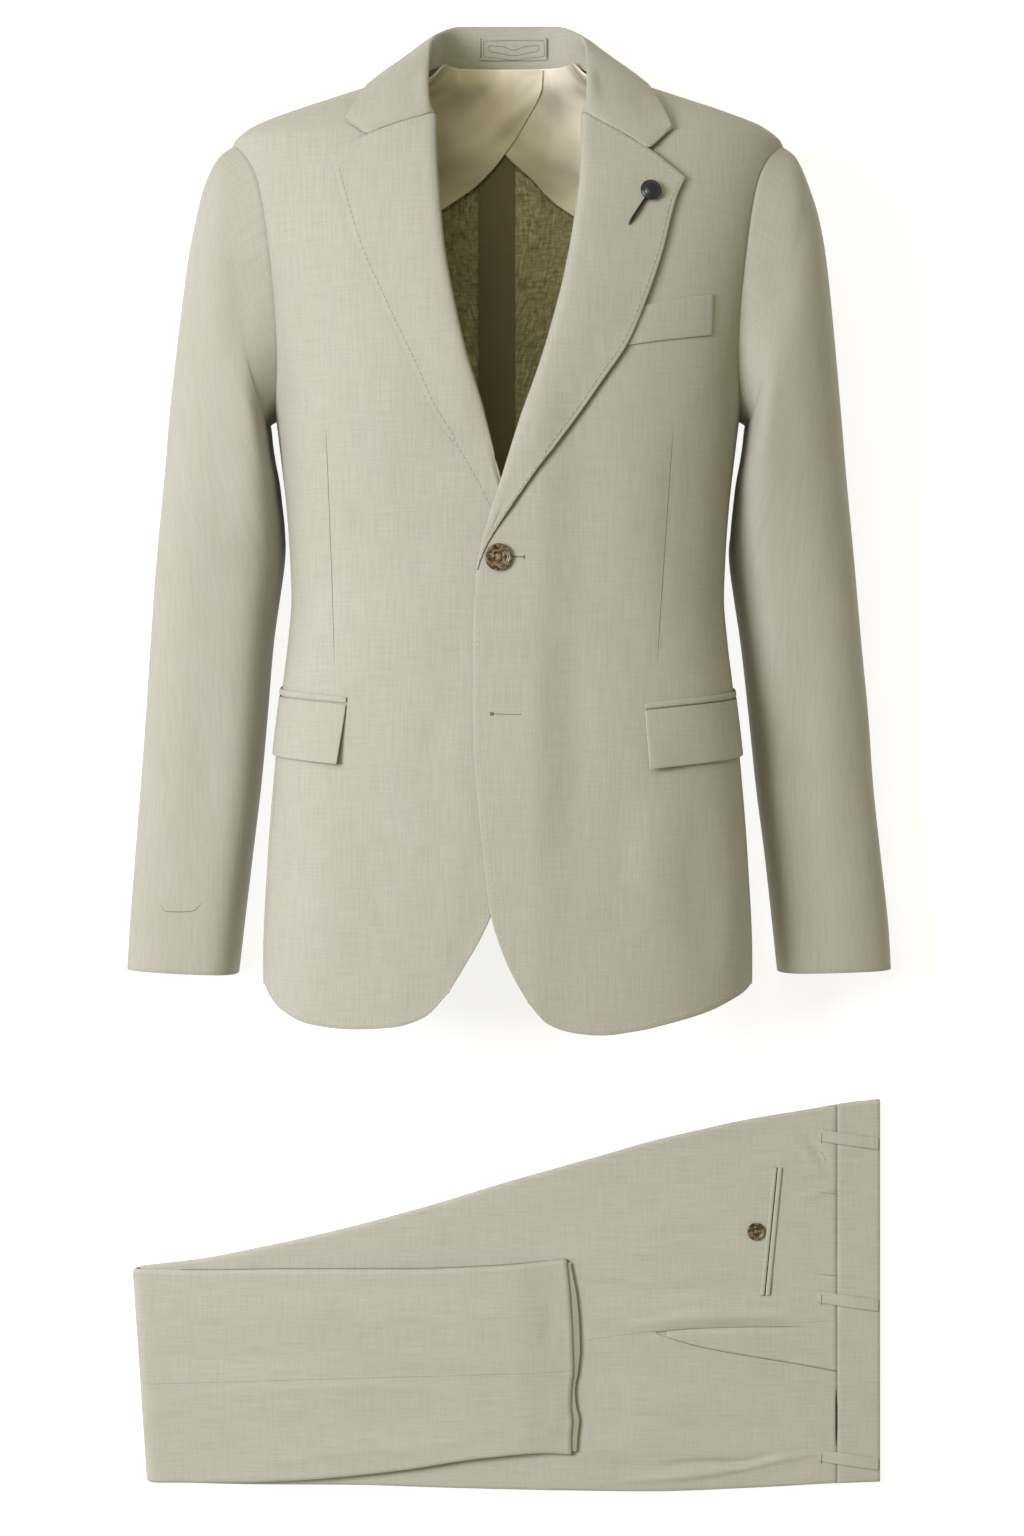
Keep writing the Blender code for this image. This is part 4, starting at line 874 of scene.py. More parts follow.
# free edge from the break to the tip, and top edge from the roll line to the tip
LAPEL_EDGE = {
    1: [
        (-23, 149), (-17, 163), (-7, 180), (5, 197.5), (18, 216), (37, 242), (60, 273), (76, 296),
        (92, 320), (105, 350), (119, 391), (131, 436), (138, 452)],
    -1: [
        (-11, 151), (-1, 163), (10, 185), (28, 220), (44, 246), (60, 272), (74, 304), (87, 331),
        (103, 366), (114, 391), (128, 435), (135, 461), (138, 470)]}
LAPEL_TOP = {1: [(62, 500.5), (86, 487), (111, 473), (125, 462.5), (138, 452)],
             -1: [(61, 500.5), (86, 493.5), (110, 485.5), (124, 478), (138, 470)]}
# the lapel is low near the break, where the left front passes over the right lapel
LAPEL_LOW = {1: .80, -1: -.35}
# section of the roll in millimetres: away from the roll line, and above the front
ROLL = table("away above", (-.9, -.8), (-3.2, -.5), (-4.6, 2.2), (-3.6, 5.0), (0, 6.6), (5.5, 6.9))
LIE = .0018                                 # middle of the lapel where it lies closest
LAPEL_FREE = .0036                          # middle of the lapel at its free edge
LAPEL_ROLL = .0069
LAPEL_FULL = .030                           # width of lapel that has the full roll
LAPEL_ROWS, LAPEL_COLS = 106, 7
LAPEL_ENDS = (.02, .17)                     # below, the roll has opened out flat into the front
LAPEL_RISES = (.12, .42)                    # over this part it rises to the full roll
LAPEL_CLEAR, CLEAR_ENDS = .0012, (.25, .5)  # how far the roll stands off the front's edge, and up to where
LIE_LOW, THIN_END = .0008, .0007            # how it lies, and its thickness, where it has opened out


def lapel(word, side):
    v = np.linspace(0, 1, LAPEL_ROWS)
    top = along(np.array(LAPEL_TOP[side], float) * MM, LAPEL_COLS + 1)
    roll = path(np.array(EDGE[side][BREAK[side]:-1] + [LAPEL_TOP[side][0]], float) * MM, v)
    free = path(np.array(LAPEL_EDGE[side], float) * MM, v)
    wide = np.linalg.norm(free - roll, axis=1)
    roll[-1], free[-1] = top[0], top[-1]
    opened = 1 - step(*LAPEL_ENDS, v)
    size = np.clip(wide / LAPEL_FULL, .45, 1) * (1 - .75 * opened)
    high = LAPEL_LOW[side] + (1 - LAPEL_LOW[side]) * step(*LAPEL_RISES, v)
    clear = LAPEL_CLEAR * (1 - step(*CLEAR_ENDS, v)) * (1 - opened)
    lie = LIE - (LIE - LIE_LOW) * opened
    line = unit(np.gradient(roll, axis=0))
    grid = []
    for i in range(LAPEL_ROWS):
        d = (free[i] - roll[i]) / wide[i]
        square = np.array([line[i][1], -line[i][0]])
        d = square + (d - square) * step(.8, 1, v[i])
        places, above = [], []
        for k, (away, rise) in enumerate(zip(ROLL["away"] * MM, ROLL["above"] * MM)):
            scale = size[i] if k else 1
            places.append(roll[i] + d * (away * scale - (clear[i] if away < 0 else 0)))
            rise = rise * size[i] * high[i] if k else rise
            above.append(max(rise, lie[i]) if away >= 0 else rise)
        start = ROLL["away"][-1] * MM * size[i] / wide[i]
        for u in np.linspace(start, 1, LAPEL_COLS + 1)[1:]:
            bend = path(top, u) - (top[0] + (top[-1] - top[0]) * u)
            places.append(roll[i] + (free[i] - roll[i]) * u + bend * v[i] ** 6)
            rise = LAPEL_FREE + (LAPEL_ROLL * size[i] - LAPEL_FREE) * (1 - step(start, 1, u))
            above.append(max(lie[i], rise * high[i] * (1 - opened[i])))
        places = np.array(places)
        grid.append(torso(angle_at(places[:, 0], places[:, 1]), places[:, 1], np.array(above), side > 0))
    g = on_side(finer(np.array(grid), 4, 1), side)
    thick = FOLDED - (FOLDED - THIN_END) * opened[:, None]
    cloth("lapel_" + word, g, thick, UP, "folded", ["front_" + word], uv=g[..., :2], edge=.0006)
    return grid[-1]


LAPEL_END = {side: lapel(word, side) for side, word in WEARER}

# ---------------------------------------------------------------- collar

# a row for each place round the neck, from the middle of the back to the gorge: the fold at the
# top of the stand (f), and the free edge of the fall (e)
COLLAR = table(
    "at fx fy fz ex ey ez",
    (0, 0, .6095, .037, 0, .5630, .0205), (.16, .022, .6093, .038, .030, .5625, .0212),
    (.30, .040, .6080, .042, .058, .5600, .0260), (.42, .0535, .6010, .054, .082, .5560, .0420),
    (.54, .0605, .5900, .078, .101, .5520, .0720), (.66, .0632, .5740, .106, .1100, .5470, .1060),
    (.78, .0635, .5540, .138, .1145, .5330, .1450), (.90, .0630, .5300, .171, .1230, .5120, .1720),
    (1.0, .0622, .5105, .1850, .1290, .4945, .1830))
NECK_PLACES = [0, .30, .48, .66, .84, 1.0]      # where the rows of NECK come, from the back
# the collar's end follows the lapel's top edge to the notch, then runs out to the collar's point
GORGE_POINTS = 10
COLLAR_POINT = {1: [(119, 483), (129, 494)], -1: [(117.5, 493), (127, 502)]}
END_FROM = [.93, .93, .90, .86, .86, .86] + [.80] * 6   # where each column starts to turn to the gorge
STAND_CLEAR, STAND_CLEAR_FRONT = .0016, .0026   # the stand starts inside the neckline
FALL_CLEAR = .0040                              # middle of the fall above the body
FOLD_WIDE = .0062                               # width of the fold at the top of the stand
STAND_AT, FALL_AT = (0, .35, .72), (.28, .46, .64, .82, 1.0)    # shares of the way up, and of the way down
FALL_BULGE = .004
COLLAR_ROWS = 57


def clear_of_body(p, gap):
    """Pushes points out until they stand clear of the jacket's body."""
    top = NECK_BACK + .003
    x, y = p[..., 0], np.minimum(p[..., 1], top)
    half, ridge = column("half", y), column("ridge", y)
    z = p[..., 2] - ridge
    n = np.where(z >= 0, ROUND_FRONT, ROUND_BACK)
    b = np.where(z >= 0, column("front", y) - ridge, (ridge - column("back", y)) * PRESSED)
    out = ((np.abs(x) / half) ** n + (np.abs(z) / b) ** n) ** (1 / n)
    k = np.maximum(1, (1 + gap / np.maximum(np.hypot(x, z), 1e-6)) / np.maximum(out, 1e-6))
    k = np.where(p[..., 1] > top, 1, k)
    return np.stack([x * k, p[..., 1], ridge + z * k], axis=-1)


def collar_half(side):
    at = np.linspace(0, 1, COLLAR_ROWS)
    fold = np.stack([smooth(COLLAR["at"], COLLAR[k], at) for k in ("fx", "fy", "fz")], -1)
    edge = np.stack([smooth(COLLAR["at"], COLLAR[k], at) for k in ("ex", "ey", "ez")], -1)
    a, y = path(NECK[::-1], at, NECK_PLACES).T
    seam = torso(a, y, np.full(COLLAR_ROWS, -CLOTH / 2))
    outwards = torso(a, y, np.full(COLLAR_ROWS, MM)) - torso(a, y)
    inwards = unit(np.cross(outwards, np.gradient(seam, axis=0)))
    clear = STAND_CLEAR + (STAND_CLEAR_FRONT - STAND_CLEAR) * step(.8, .93, at)
    seam += inwards * (np.sign(inwards[0, 1]) * clear[:, None])
    x, y = np.array(COLLAR_POINT[side]).T * MM
    point = torso(angle_at(x, y), y, LAPEL_FREE, side > 0)
    last = np.concatenate([LAPEL_END[side][:GORGE_POINTS], point])
    last[0] += (last[1] - last[0]) * .6
    grid = []
    for i in range(COLLAR_ROWS):
        up, down = fold[i] - seam[i], edge[i] - fold[i]
        top, away = unit(up), unit((fold[i] - MIDDLE) * LEVEL)
        row = [seam[i] + up * u for u in STAND_AT]
        row += [fold[i] - top * .004, fold[i] + away * .0008 + top * .0006,
                fold[i] + away * .0046 - top * .0006, fold[i] + away * FOLD_WIDE + down * .10]
        for u in FALL_AT:
            row.append(fold[i] + down * u
                       + away * (FOLD_WIDE * (1 - u) + FALL_BULGE * math.sin(math.pi * u)))
        end = np.array([step(start, 1, at[i]) for start in END_FROM])[:, None]
        grid.append(np.array(row) * (1 - end) + last * end)
    g = np.array(grid)
    g[:, 6:] = clear_of_body(g[:, 6:], FALL_CLEAR)
    return g


COLLAR_GRID = finer(np.concatenate([on_side(collar_half(-1)[::-1], -1)[:-1], collar_half(1)]), 4, 1)
# the face turns up on the fall of the front, and away from the neck all round
FALL_SIDE = UP * (np.arange(COLLAR_GRID.shape[1]) > 24)[None, :, None]
cloth("collar", COLLAR_GRID, FOLDED, FALL_SIDE, "folded",
      ["back_left", "back_right", "front_left", "front_right"], edge=.0006)

# ---------------------------------------------------------------- pockets of the jacket


def spread(front_top, rear_top, rear_low, front_low, cols, rows):
    """Four corners, each angle and height, as a grid from the low edge to the top edge."""
    top, low = np.linspace(front_top, rear_top, cols), np.linspace(front_low, rear_low, cols)
    return np.stack([low + (top - low) * t for t in np.linspace(0, 1, rows)])


WELT = on_front([(93, 347.5), (160, 363), (159, 331), (77, 316)])
WELT_THICK, FLAP_THICK = .0012, .0013
panel("breast_welt", spread(*WELT, 30, 12), 1, "laid", ["front_left"], WELT_THICK, LAID + WELT_THICK, 0,
      True, edge=.0006)

# front edge of each flap, top and bottom; how far the flap rises to the rear; where it ends
FLAP = {1: [(107, 37), (109, -9)], -1: [(126, 42), (131, -5)]}
FLAP_RISE = {1: .019, -1: .015}
FLAP_REAR = math.radians(106)
FLAP_HANG = .0016                           # the free edge stands off by this much at the front
FLAP_CURL, CURL_WIDE = .0042, .14           # the corner curls out, over this share of the width
JET_ROUND = .0005                           # how far the middle of a jet stands out
JET_LOW, JET_HIGH = np.array([0, .0012]), np.array([0, .0062])
FLAP_COLS, FLAP_ROWS = 60, 22

for side, word in WEARER:
    top, low = on_front(FLAP[side])
    rise = FLAP_RISE[side]
    rear_top, rear_low = np.array([FLAP_REAR, top[1] + rise]), np.array([FLAP_REAR, low[1] + rise])
    t = np.linspace(1, 0, FLAP_ROWS)[:, None]
    u = np.linspace(0, 1, FLAP_COLS)
    hang = t * (1 - .65 * u) * FLAP_HANG + t ** 1.6 * FLAP_CURL * np.exp(-(u / CURL_WIDE) ** 2)
    panel("flap_" + word, spread(top, rear_top, rear_low, low, FLAP_COLS, FLAP_ROWS), side, "hung",
          ["jet_" + word], FLAP_THICK, LAID + FLAP_THICK + hang, 0, side > 0, edge=.0006)
    jet = spread(top + JET_HIGH, rear_top + JET_HIGH, rear_top + JET_LOW, top + JET_LOW, FLAP_COLS, 8)
    bulge = np.sin(np.linspace(0, math.pi, 8))[:, None] * JET_ROUND + 0 * u
    panel("jet_" + word, jet, side, "laid", ["front_" + word], THIN, LAID + THIN + bulge, 0, side > 0)

# ---------------------------------------------------------------- buttons


def frame_on(up):
    """Three directions at right angles, the last of them along up."""
    up = unit(np.array(up, float))
    side = unit(np.cross([0, 1, 0], up))
    return side, np.cross(up, side), up


def turned(name, node, at, up, profile, finish, slot, sides=72, rings=44, dents=None):
    """A turned piece: its profile, radius and height from the foot, spun about up."""
    run = along(profile, rings)
    side, back_way, up = frame_on(up)
    angle = np.linspace(0, 2 * math.pi, sides, endpoint=False)
    x, y = run[:, :1] * np.cos(angle), run[:, :1] * np.sin(angle)
    h = run[:, 1:] + 0 * x
    if dents is not None:
        h = dents(x, y, h)
    verts = np.asarray(at) + x[..., None] * side + y[..., None] * back_way + h[..., None] * up
    verts = verts.reshape(-1, 3)
    faces = [(k * sides + q, k * sides + (q + 1) % sides,
              (k + 1) * sides + (q + 1) % sides, (k + 1) * sides + q)
             for k in range(rings - 1) for q in range(sides)]
    ob = mesh_object(name, verts, faces, finish)
    return stands_for(ob, slot, node)


def button_profile(r, thick):
    return [(1e-5, 0), (r * .62, 0), (r * .94, thick * .35), (r, thick * .68), (r * .975, thick * .92),
            (r * .93, thick), (r * .84, thick), (r * .76, thick * .93), (r * .68, thick * .72),
            (r * .60, thick * .66), (r * .3, thick * .66), (1e-5, thick * .66)]


def button(name, at, up, r, thick, sides=96):
    """Horn button with a rim, a dish and four holes, and the thread that holds it."""
    apart = r * .20
    holes = [(apart * a, apart * b) for a in (-1, 1) for b in (-1, 1)]

    def dents(x, y, h):
        for hx, hy in holes:
            near = np.hypot(x - hx, y - hy)
            h = h - (h > thick * .5) * thick * .5 * (1 - step(r * .085, r * .125, near))
        return h
    turned(name + "_horn", name, at, up, button_profile(r, thick), HORN, "horn", sides, 90, dents)
    side, back_way, up = frame_on(up)
    lines = []
    for a, b in ((0, 3), (1, 2)):
        for shift in (-.35, .35):
            start, end = np.array(holes[a]), np.array(holes[b])
            across = np.array([end[1] - start[1], start[0] - end[0]])
            across = unit(across) * shift * r * .10
            line = []
            for t in np.linspace(0, 1, 9):
                x, y = start + (end - start) * t + across
                h = thick * (.34 + .50 * math.sin(math.pi * t) ** .5)
                line.append(np.asarray(at) + side * x + back_way * y + up * h)
            lines.append(line)
    tube(name + "_thread", lines, r * .040, HORN_THREAD, "horn", 6)


def button_on_front(name, x, y, side, r, thick):
    a = angle_at(x, y)
    foot, above = torso(a, y, .0009, side > 0), torso(a, y, .0109, side > 0)
    button(name, foot, above - foot, r, thick)


button_on_front("button_top", -.0070, .1560, 1, .0106, .0034)
button_on_front("button_low", .0005, .0340, -1, .0102, .0022)

# ---------------------------------------------------------------- the lapel pin

PIN_HEAD, PIN_FOOT = np.array([.1110, .4400]), np.array([.0935, .4120])
PIN_R, STEM_R = .0084, .0012
PIN_PROFILE = [(1e-5, 0), (.0060, 0), (.0080, .0008), (PIN_R, .0020), (.0080, .0030), (.0070, .0036),
               (.0066, .0034), (.0056, .0045), (.0030, .0053), (1e-5, .0055)]
PIN_LEAN = (.18, .25, 1)
STEM_CLEAR, STEM_BOW = .0013, .0012         # its middle above the lapel, and how far it bows out
LAPEL_LEFT = tree("lapel_left")
head_z = float(drop(LAPEL_LEFT, *PIN_HEAD, FROM_ABOVE))
turned("lapel_pin_head_enamel", "lapel_pin_head", (*PIN_HEAD, head_z + .0012), PIN_LEAN, PIN_PROFILE,
       ENAMEL, "dark_enamel", 64, 48)
stem_line = []
for t in np.linspace(0, 1, 25):
    x, y = (PIN_HEAD + unit(PIN_FOOT - PIN_HEAD) * PIN_R * .8) * (1 - t) + PIN_FOOT * t
    z = float(drop(LAPEL_LEFT, x, y, FROM_ABOVE))
    stem_line.append((x, y, z + STEM_CLEAR + STEM_BOW * math.sin(math.pi * t)))
stem = tube("lapel_pin_stem_metal", [stem_line], STEM_R, METAL, "dark_metal", 14,
            ((0, .05, .84, 1), (1, 1, 1, .3)))
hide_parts("lapel_pin_stem")

# ---------------------------------------------------------------- inside the back


def back_z(x, y):
    """Height of the inner side of the back."""
    n = ROUND_BACK
    ridge = column("ridge", y)
    deep = (ridge - column("back", y)) * PRESSED
    r = np.clip(np.abs(x) / column("half", y), 0, .999)
    return np.maximum(ridge - deep * (1 - r ** n) ** (1 / n), 0) + CLOTH


def laid_inside(node, low, high, rows, cols, out, finish, slot, rests_on, under=None):
    """A thin piece that lies on the inner side of the cloth, between two edges in millimetres."""
    g = between(*(along(np.array(line, float) * MM, cols) for line in (low, high)), rows)
    x, y = g[..., 0], g[..., 1]
    z = back_z(x, y) if under is None else drop(under, x, y, FROM_INSIDE)
    g = np.concatenate([g, (z + out)[..., None]], -1)
    cloth(node, g, THIN, UP, "laid", rests_on, gap=0, finish=finish, slot=slot, offset=1)


TAPE = (-25, 6)                             # the bound seam allowance, a little to the wearer's right
laid_inside("back_seam_tape", [(TAPE[0], -122), (TAPE[1], -122)], [(TAPE[0], 553), (TAPE[1], 553)], 150, 9,
            .0009, BINDING, "binding", ["back_left", "back_right"])


def on_back(places):
    """Places x, y on the back in millimetres, as angle and height."""
    x, y = np.array(places, float).T * MM
    return np.stack([np.arctan2(x, back_z(x, y) - CLOTH - column("ridge", y)) % (2 * math.pi), y], axis=-1)


# the two leaves of the half lining: the free lower edge, from the arm to the neck, and the edge
# along the shoulder seam and the neckline
LINING_LOW = {
    1: [(162, 414), (120, 433), (63, 455), (37, 472), (21, 489), (-3, 511), (-18, 535), (-29, 562)],
    -1: [(162, 412), (120, 438), (59, 462), (44, 472), (25, 486), (3, 510), (-17, 540), (-29, 562)]}
LINING_HIGH = at_degrees((97, .508), (96, .530), (99, .5555), (118, .5750), (150, .5773), (180, .5772),
                         (206, .5768))
# how far each leaf stands off the back, low down and at the neck: the right one lies over the left
LINING_OUT = {1: (.0030, .0022), -1: (.0054, .0040)}
LINING_NEARS = (.500, .530)                 # between these heights it comes nearer to the back
FOLD_DEEPEST = .0008                        # its folds go no further than this towards the back
LINING_ROWS, LINING_COLS = 40, 90
LINING_FOLDS = {
    1: [([(60, 545), (46, 505), (42, 470)], 11, 2.2), ([(30, 566), (33, 530), (36, 500)], 7, -1.4),
        ([(37, 575), (38, 566), (41, 556)], 2.4, 1.5), ([(46, 574), (47, 566), (50, 556)], 2.6, -1.1),
        ([(20, 575), (21, 565), (22, 552)], 3.2, 1.0), ([(84, 540), (72, 500), (70, 470)], 12, 1.8)],
    -1: [([(-58, 552), (-46, 510), (-40, 476)], 12, 2.4), ([(-30, 566), (-24, 530), (-16, 505)], 8, -1.6),
         ([(-8, 570), (-4, 545), (0, 522)], 7, 1.5), ([(-44, 575), (-43, 566), (-40, 554)], 2.4, 1.5),
         ([(-36, 575), (-34, 562), (-30, 550)], 2.8, -1.2),
         ([(-22, 575), (-20, 566), (-17, 556)], 2.6, 1.1),
         ([(-80, 540), (-72, 500), (-66, 470)], 12, 1.6), ([(-2, 575), (0, 566), (2, 556)], 2.6, 1.0)]}


def lining(word, side):
    domain = between(along(on_back(LINING_LOW[side]), LINING_COLS), along(LINING_HIGH, LINING_COLS),
                     LINING_ROWS)
    a, y = domain[..., 0], domain[..., 1]
    at_neck = step(*LINING_NEARS, y)
    off = LINING_OUT[side][0] * (1 - at_neck) + LINING_OUT[side][1] * at_neck
    places = torso(a, y)[..., :2] * (side, 1)
    fold = np.maximum(folds(places, LINING_FOLDS[side]), -FOLD_DEEPEST)
    grid = torso(a, y, -CLOTH - off - THIN / 2 - fold)
    cloth("lining_" + word, on_side(grid, side), THIN, UP, "laid", ["back_" + word], gap=0, finish=LINING,
          slot="lining")


for side, word in WEARER:
    lining(word, side)
laid_inside("hanger_tab", [(-23.5, 583), (33.5, 583)], [(-23.5, 600), (33.5, 600)], 14, 30, .0004, LINEN,
            "lining", ["collar"], tree("collar"))

# ---------------------------------------------------------------- trousers, folded flat

# edges in millimetres: the folded edges of the thigh and seat, the side seam, the slant pocket
TOP_EDGE = table(
    "x y",
    (-311, -428.9), (-290, -426.6), (-260, -423), (-218, -415), (-175, -406), (-133, -396), (-91, -385),
    (-49, -373), (-7, -360), (35, -348), (78, -336), (120, -324), (162, -314), (204, -305), (246, -298),
    (288, -291), (315, -288))
LOW_EDGE = table("x y", (-306, -610), (-218, -612), (-133, -612.5), (-49, -615), (35, -617), (120, -618),
                 (204, -615), (278, -611), (315, -609.5))
SIDE_SEAM = table("x y", (-306, -526), (-100, -510), (61, -491), (124, -483), (195, -479), (278, -474),
                  (315, -472))
SLANT = table("x y", (124, -485), (162, -496), (204, -504), (246, -511), (277.6, -517))
# the turned-back leg: its folded edges, its seam, its hem and the knee fold
SHIN_TOP = table("x y", (-316, -429.5), (-258, -431), (-175, -430), (-91, -430), (-7, -427), (46, -422))
SHIN_LOW = table("x y", (-304, -608), (-233, -608), (-175, -606), (-91, -598), (-23, -588), (27, -584),
                 (54, -586))
SHIN_SEAM = table("x y", (-310, -525.5), (46, -515.5))
LEG_HEM = table("y x", (-588, 54), (-572, 53.4), (-558, 54.6), (-545, 53.2), (-530, 53.6), (-516, 55.4),
                (-498, 54.8), (-480, 54.2), (-466, 53.4), (-450, 52.4), (-436, 51.0), (-422, 49.6))
# how far the second leg's hem shows past the first
SECOND_HEM = table("y out", (-588, 3.2), (-572, 4.8), (-556, 5.2), (-541, 3.4), (-528, 2.6), (-514, 3.6),
                   (-498, 5.6), (-474, 5.8), (-452, 5.0), (-436, 3.6), (-422, 2.4))
KNEE = table("y x", (-612, -303.5), (-519, -309.5), (-429, -315.5))
KNEE_END = -.3155
THIGH_Z, SHIN_Z = .0108, .0216              # top of the lower and of the upper stack of layers
BEND, BEND_DROP = .0026, .0032              # how the cloth rolls over at a folded edge
NEAR_EDGE = BEND * np.array([1, .72, .5, .34, .22, .12, .06, .02, 0])
WAIST, TOP_OF_BAND = .2778, .3140           # where the waistband starts and ends
THIGH_END = -.3105                          # where the thigh's cloth ends inside the knee
LEAN_FROM, LEAN_OVER = -.2, .106            # the knee end leans over this length, from this place on
SLANT_START, POCKET_START = .124, .134
PRESSED_SEAM = dict(gap=.00002, edge=.00006)    # a seam pressed so flat that it hardly shows
BESIDE_SEAM = .0003                         # the first row of places from such a seam
THIGH_FOLDS = [
    ([(106, -487), (150, -482), (195, -480), (250, -480)], 2.8, -1.5),
    ([(100, -478), (160, -471), (215, -470), (256, -473)], 4.6, 1.9),
    ([(60, -455), (130, -450), (200, -447), (262, -450)], 8, -1.0),
    ([(96, -609), (150, -605), (193, -599), (228, -591), (262, -586)], 2.6, 2.2),
    ([(126, -597), (165, -594), (198, -594), (222, -589)], 3.6, -2.5),
    ([(60, -594), (110, -598), (140, -600)], 6, -1.2),
    ([(250, -316), (260, -330), (268, -344)], 3.6, -2.2),
    ([(250, -326), (258, -340), (262, -352)], 4.0, .9),
    ([(252, -352), (264, -356), (274, -357)], 2.4, -.9),
    ([(240, -372), (262, -366), (276, -362)], 3.0, .7),
    ([(250, -430), (264, -434), (276, -436)], 2.4, -.9),
    ([(110, -405), (150, -400), (205, -404)], 7, -.9), ([(20, -420), (90, -416), (150, -412)], 10, .9),
    ([(64, -440), (96, -446), (110, -450)], 5, -.8), ([(70, -530), (120, -542), (180, -538)], 13, 1.1),
    ([(140, -560), (190, -566), (250, -560)], 9, -.9), ([(64, -500), (90, -520), (100, -560)], 7, -.8),
    ([(232, -540), (250, -560), (268, -580)], 8, .8)]
SHIN_FOLDS = [
    ([(-280, -470), (-180, -466), (-60, -470), (30, -466)], 14, .7),
    ([(-250, -560), (-120, -556), (0, -550)], 14, -.8),
    ([(-290, -536), (-200, -530), (-100, -528), (-20, -532)], 5, .7),
    ([(-290, -500), (-230, -505), (-150, -496)], 8, -.7),
    ([(-120, -500), (-60, -508), (20, -502)], 9, .6), ([(20, -440), (36, -470), (30, -500)], 7, -.9),
    ([(36, -520), (42, -548), (34, -574)], 6, .9), ([(-240, -440), (-140, -446), (-40, -442)], 6, -.6),
    ([(-220, -590), (-120, -582), (-30, -572)], 6, .7)]


def at_mm(t, key, value, p):
    return smooth(t[key], t[value], np.asarray(p) / MM) * MM


def edge_y(t, x):
    return float(at_mm(t, "x", "y", x))


def row_at(x, ys, zs):
    """A row of places across the leg."""
    return np.stack(np.broadcast_arrays(x, ys, zs), -1)


def rounded(e):
    """How far the cloth has dropped at a distance e from a folded edge."""
    k = np.clip(1 - np.asarray(e) / BEND, 0, 1)
    return BEND_DROP * (1 - np.sqrt(1 - k * k))


def leaning(g):
    """Leans the knee end to follow the fold of the turned-back leg."""
    g = np.array(g, float)
    share = np.clip((LEAN_FROM - g[..., 0]) / LEAN_OVER, 0, 1)
    g[..., 0] += share * (at_mm(KNEE, "y", "x", g[..., 1]) - KNEE_END)
    return g


def leg_cloth(node, grid, thick, held, rests_on, gap=SEAM, marks=(), **more):
    """A piece of the trousers, its threads along the leg."""
    grid = np.array(grid)
    uv = grid[..., [1, 0]].copy()
    grid[..., 2] += folds(grid[..., :2], marks)
    cloth(node, grid, thick, UP, held, rests_on, uv=uv, gap=gap, finish=TROUSER_LINEN_PAINTED_LIGHT, **more)


def folded(node, xs, seam_y, fold_y, cols):
    """A panel between a seam and a folded edge, where it rolls over."""
    grid = []
    for x in xs:
        a, b = seam_y(x), fold_y(x)
        s = math.copysign(1, b - a)
        flat = np.linspace(a + s * BESIDE_SEAM, b - s * BEND, cols)[:-1]
        ys = np.concatenate([[a], flat, b - s * NEAR_EDGE])
        zs = THIGH_Z - CLOTH / 2 - np.concatenate([np.zeros(cols), rounded(NEAR_EDGE)])
        grid.append(row_at(x, ys, zs))
    leg_cloth(node, leaning(grid), CLOTH, "folded", ["thigh_layers"], marks=THIGH_FOLDS, **PRESSED_SEAM)


def front_top(x):
    return edge_y(SLANT, x) - .0003 if x > SLANT_START else edge_y(SIDE_SEAM, x)


folded("trouser_back", np.linspace(THIGH_END, WAIST, 150), lambda x: edge_y(SIDE_SEAM, x),
       lambda x: edge_y(TOP_EDGE, x), 100)
folded("trouser_front",
       np.concatenate([np.linspace(THIGH_END, .122, 106), np.linspace(SLANT_START, WAIST, 44)]),
       front_top, lambda x: edge_y(LOW_EDGE, x), 76)

POCKET_CLOTH = .0014
grid = []
for x in np.linspace(POCKET_START, WAIST, 40):
    ys = np.concatenate([[0], np.linspace(.03, 1, 18)])
    ys = edge_y(SIDE_SEAM, x) + (front_top(x) + .0004 - edge_y(SIDE_SEAM, x)) * ys
    sunk = .0006 * step(.45, 1, np.linspace(0, 1, len(ys)))
    grid.append(row_at(x, ys, THIGH_Z - POCKET_CLOTH / 2 - sunk))
leg_cloth("pocket_side", grid, POCKET_CLOTH, "laid", ["thigh_layers"], marks=THIGH_FOLDS, **PRESSED_SEAM)

BAND_Z, BAND_THICK = .0112, .0020
grid = []
for x in np.linspace(WAIST + .0001, TOP_OF_BAND, 12):
    a, b = edge_y(LOW_EDGE, x), edge_y(TOP_EDGE, x)
    ys = np.concatenate([a + NEAR_EDGE[::-1], np.linspace(a + BEND, b - BEND, 60)[1:-1], b - NEAR_EDGE])
    grid.append(row_at(x, ys, BAND_Z - BAND_THICK / 2 - rounded(np.minimum(ys - a, b - ys))))
leg_cloth("waistband", grid, BAND_THICK, "folded", ["thigh_layers"], 0, edge=.0002)

# belt loops: a strip from the seam of the band over its top, standing off in the middle
LOOP = table("x z", (.2615, .0111), (.2665, .0113), (.2770, .0121), (.2860, .0128), (.2970, .0130),
             (.3070, .0126), (.3125, .0121))
LOOP_Y, LOOP_HALF, LOOP_THICK = (-.3209, -.4572, -.5909), .0050, .0011
LOOP_SLANT, LOOP_MIDDLE = .14, .287         # how much a loop leans to one side about its middle
for k, y in enumerate(LOOP_Y, 1):
    loop_x = np.linspace(LOOP["x"][0], LOOP["x"][-1], 30)
    loop_z = smooth(LOOP["x"], LOOP["z"], loop_x) + LOOP_THICK / 2
    grid = [row_at(loop_x, y + w - LOOP_SLANT * (loop_x - LOOP_MIDDLE), loop_z)
            for w in np.linspace(-LOOP_HALF, LOOP_HALF, 9)]
    leg_cloth("belt_loop_%d" % k, grid, LOOP_THICK, "stretched", ["waistband"], 0, edge=.0006)

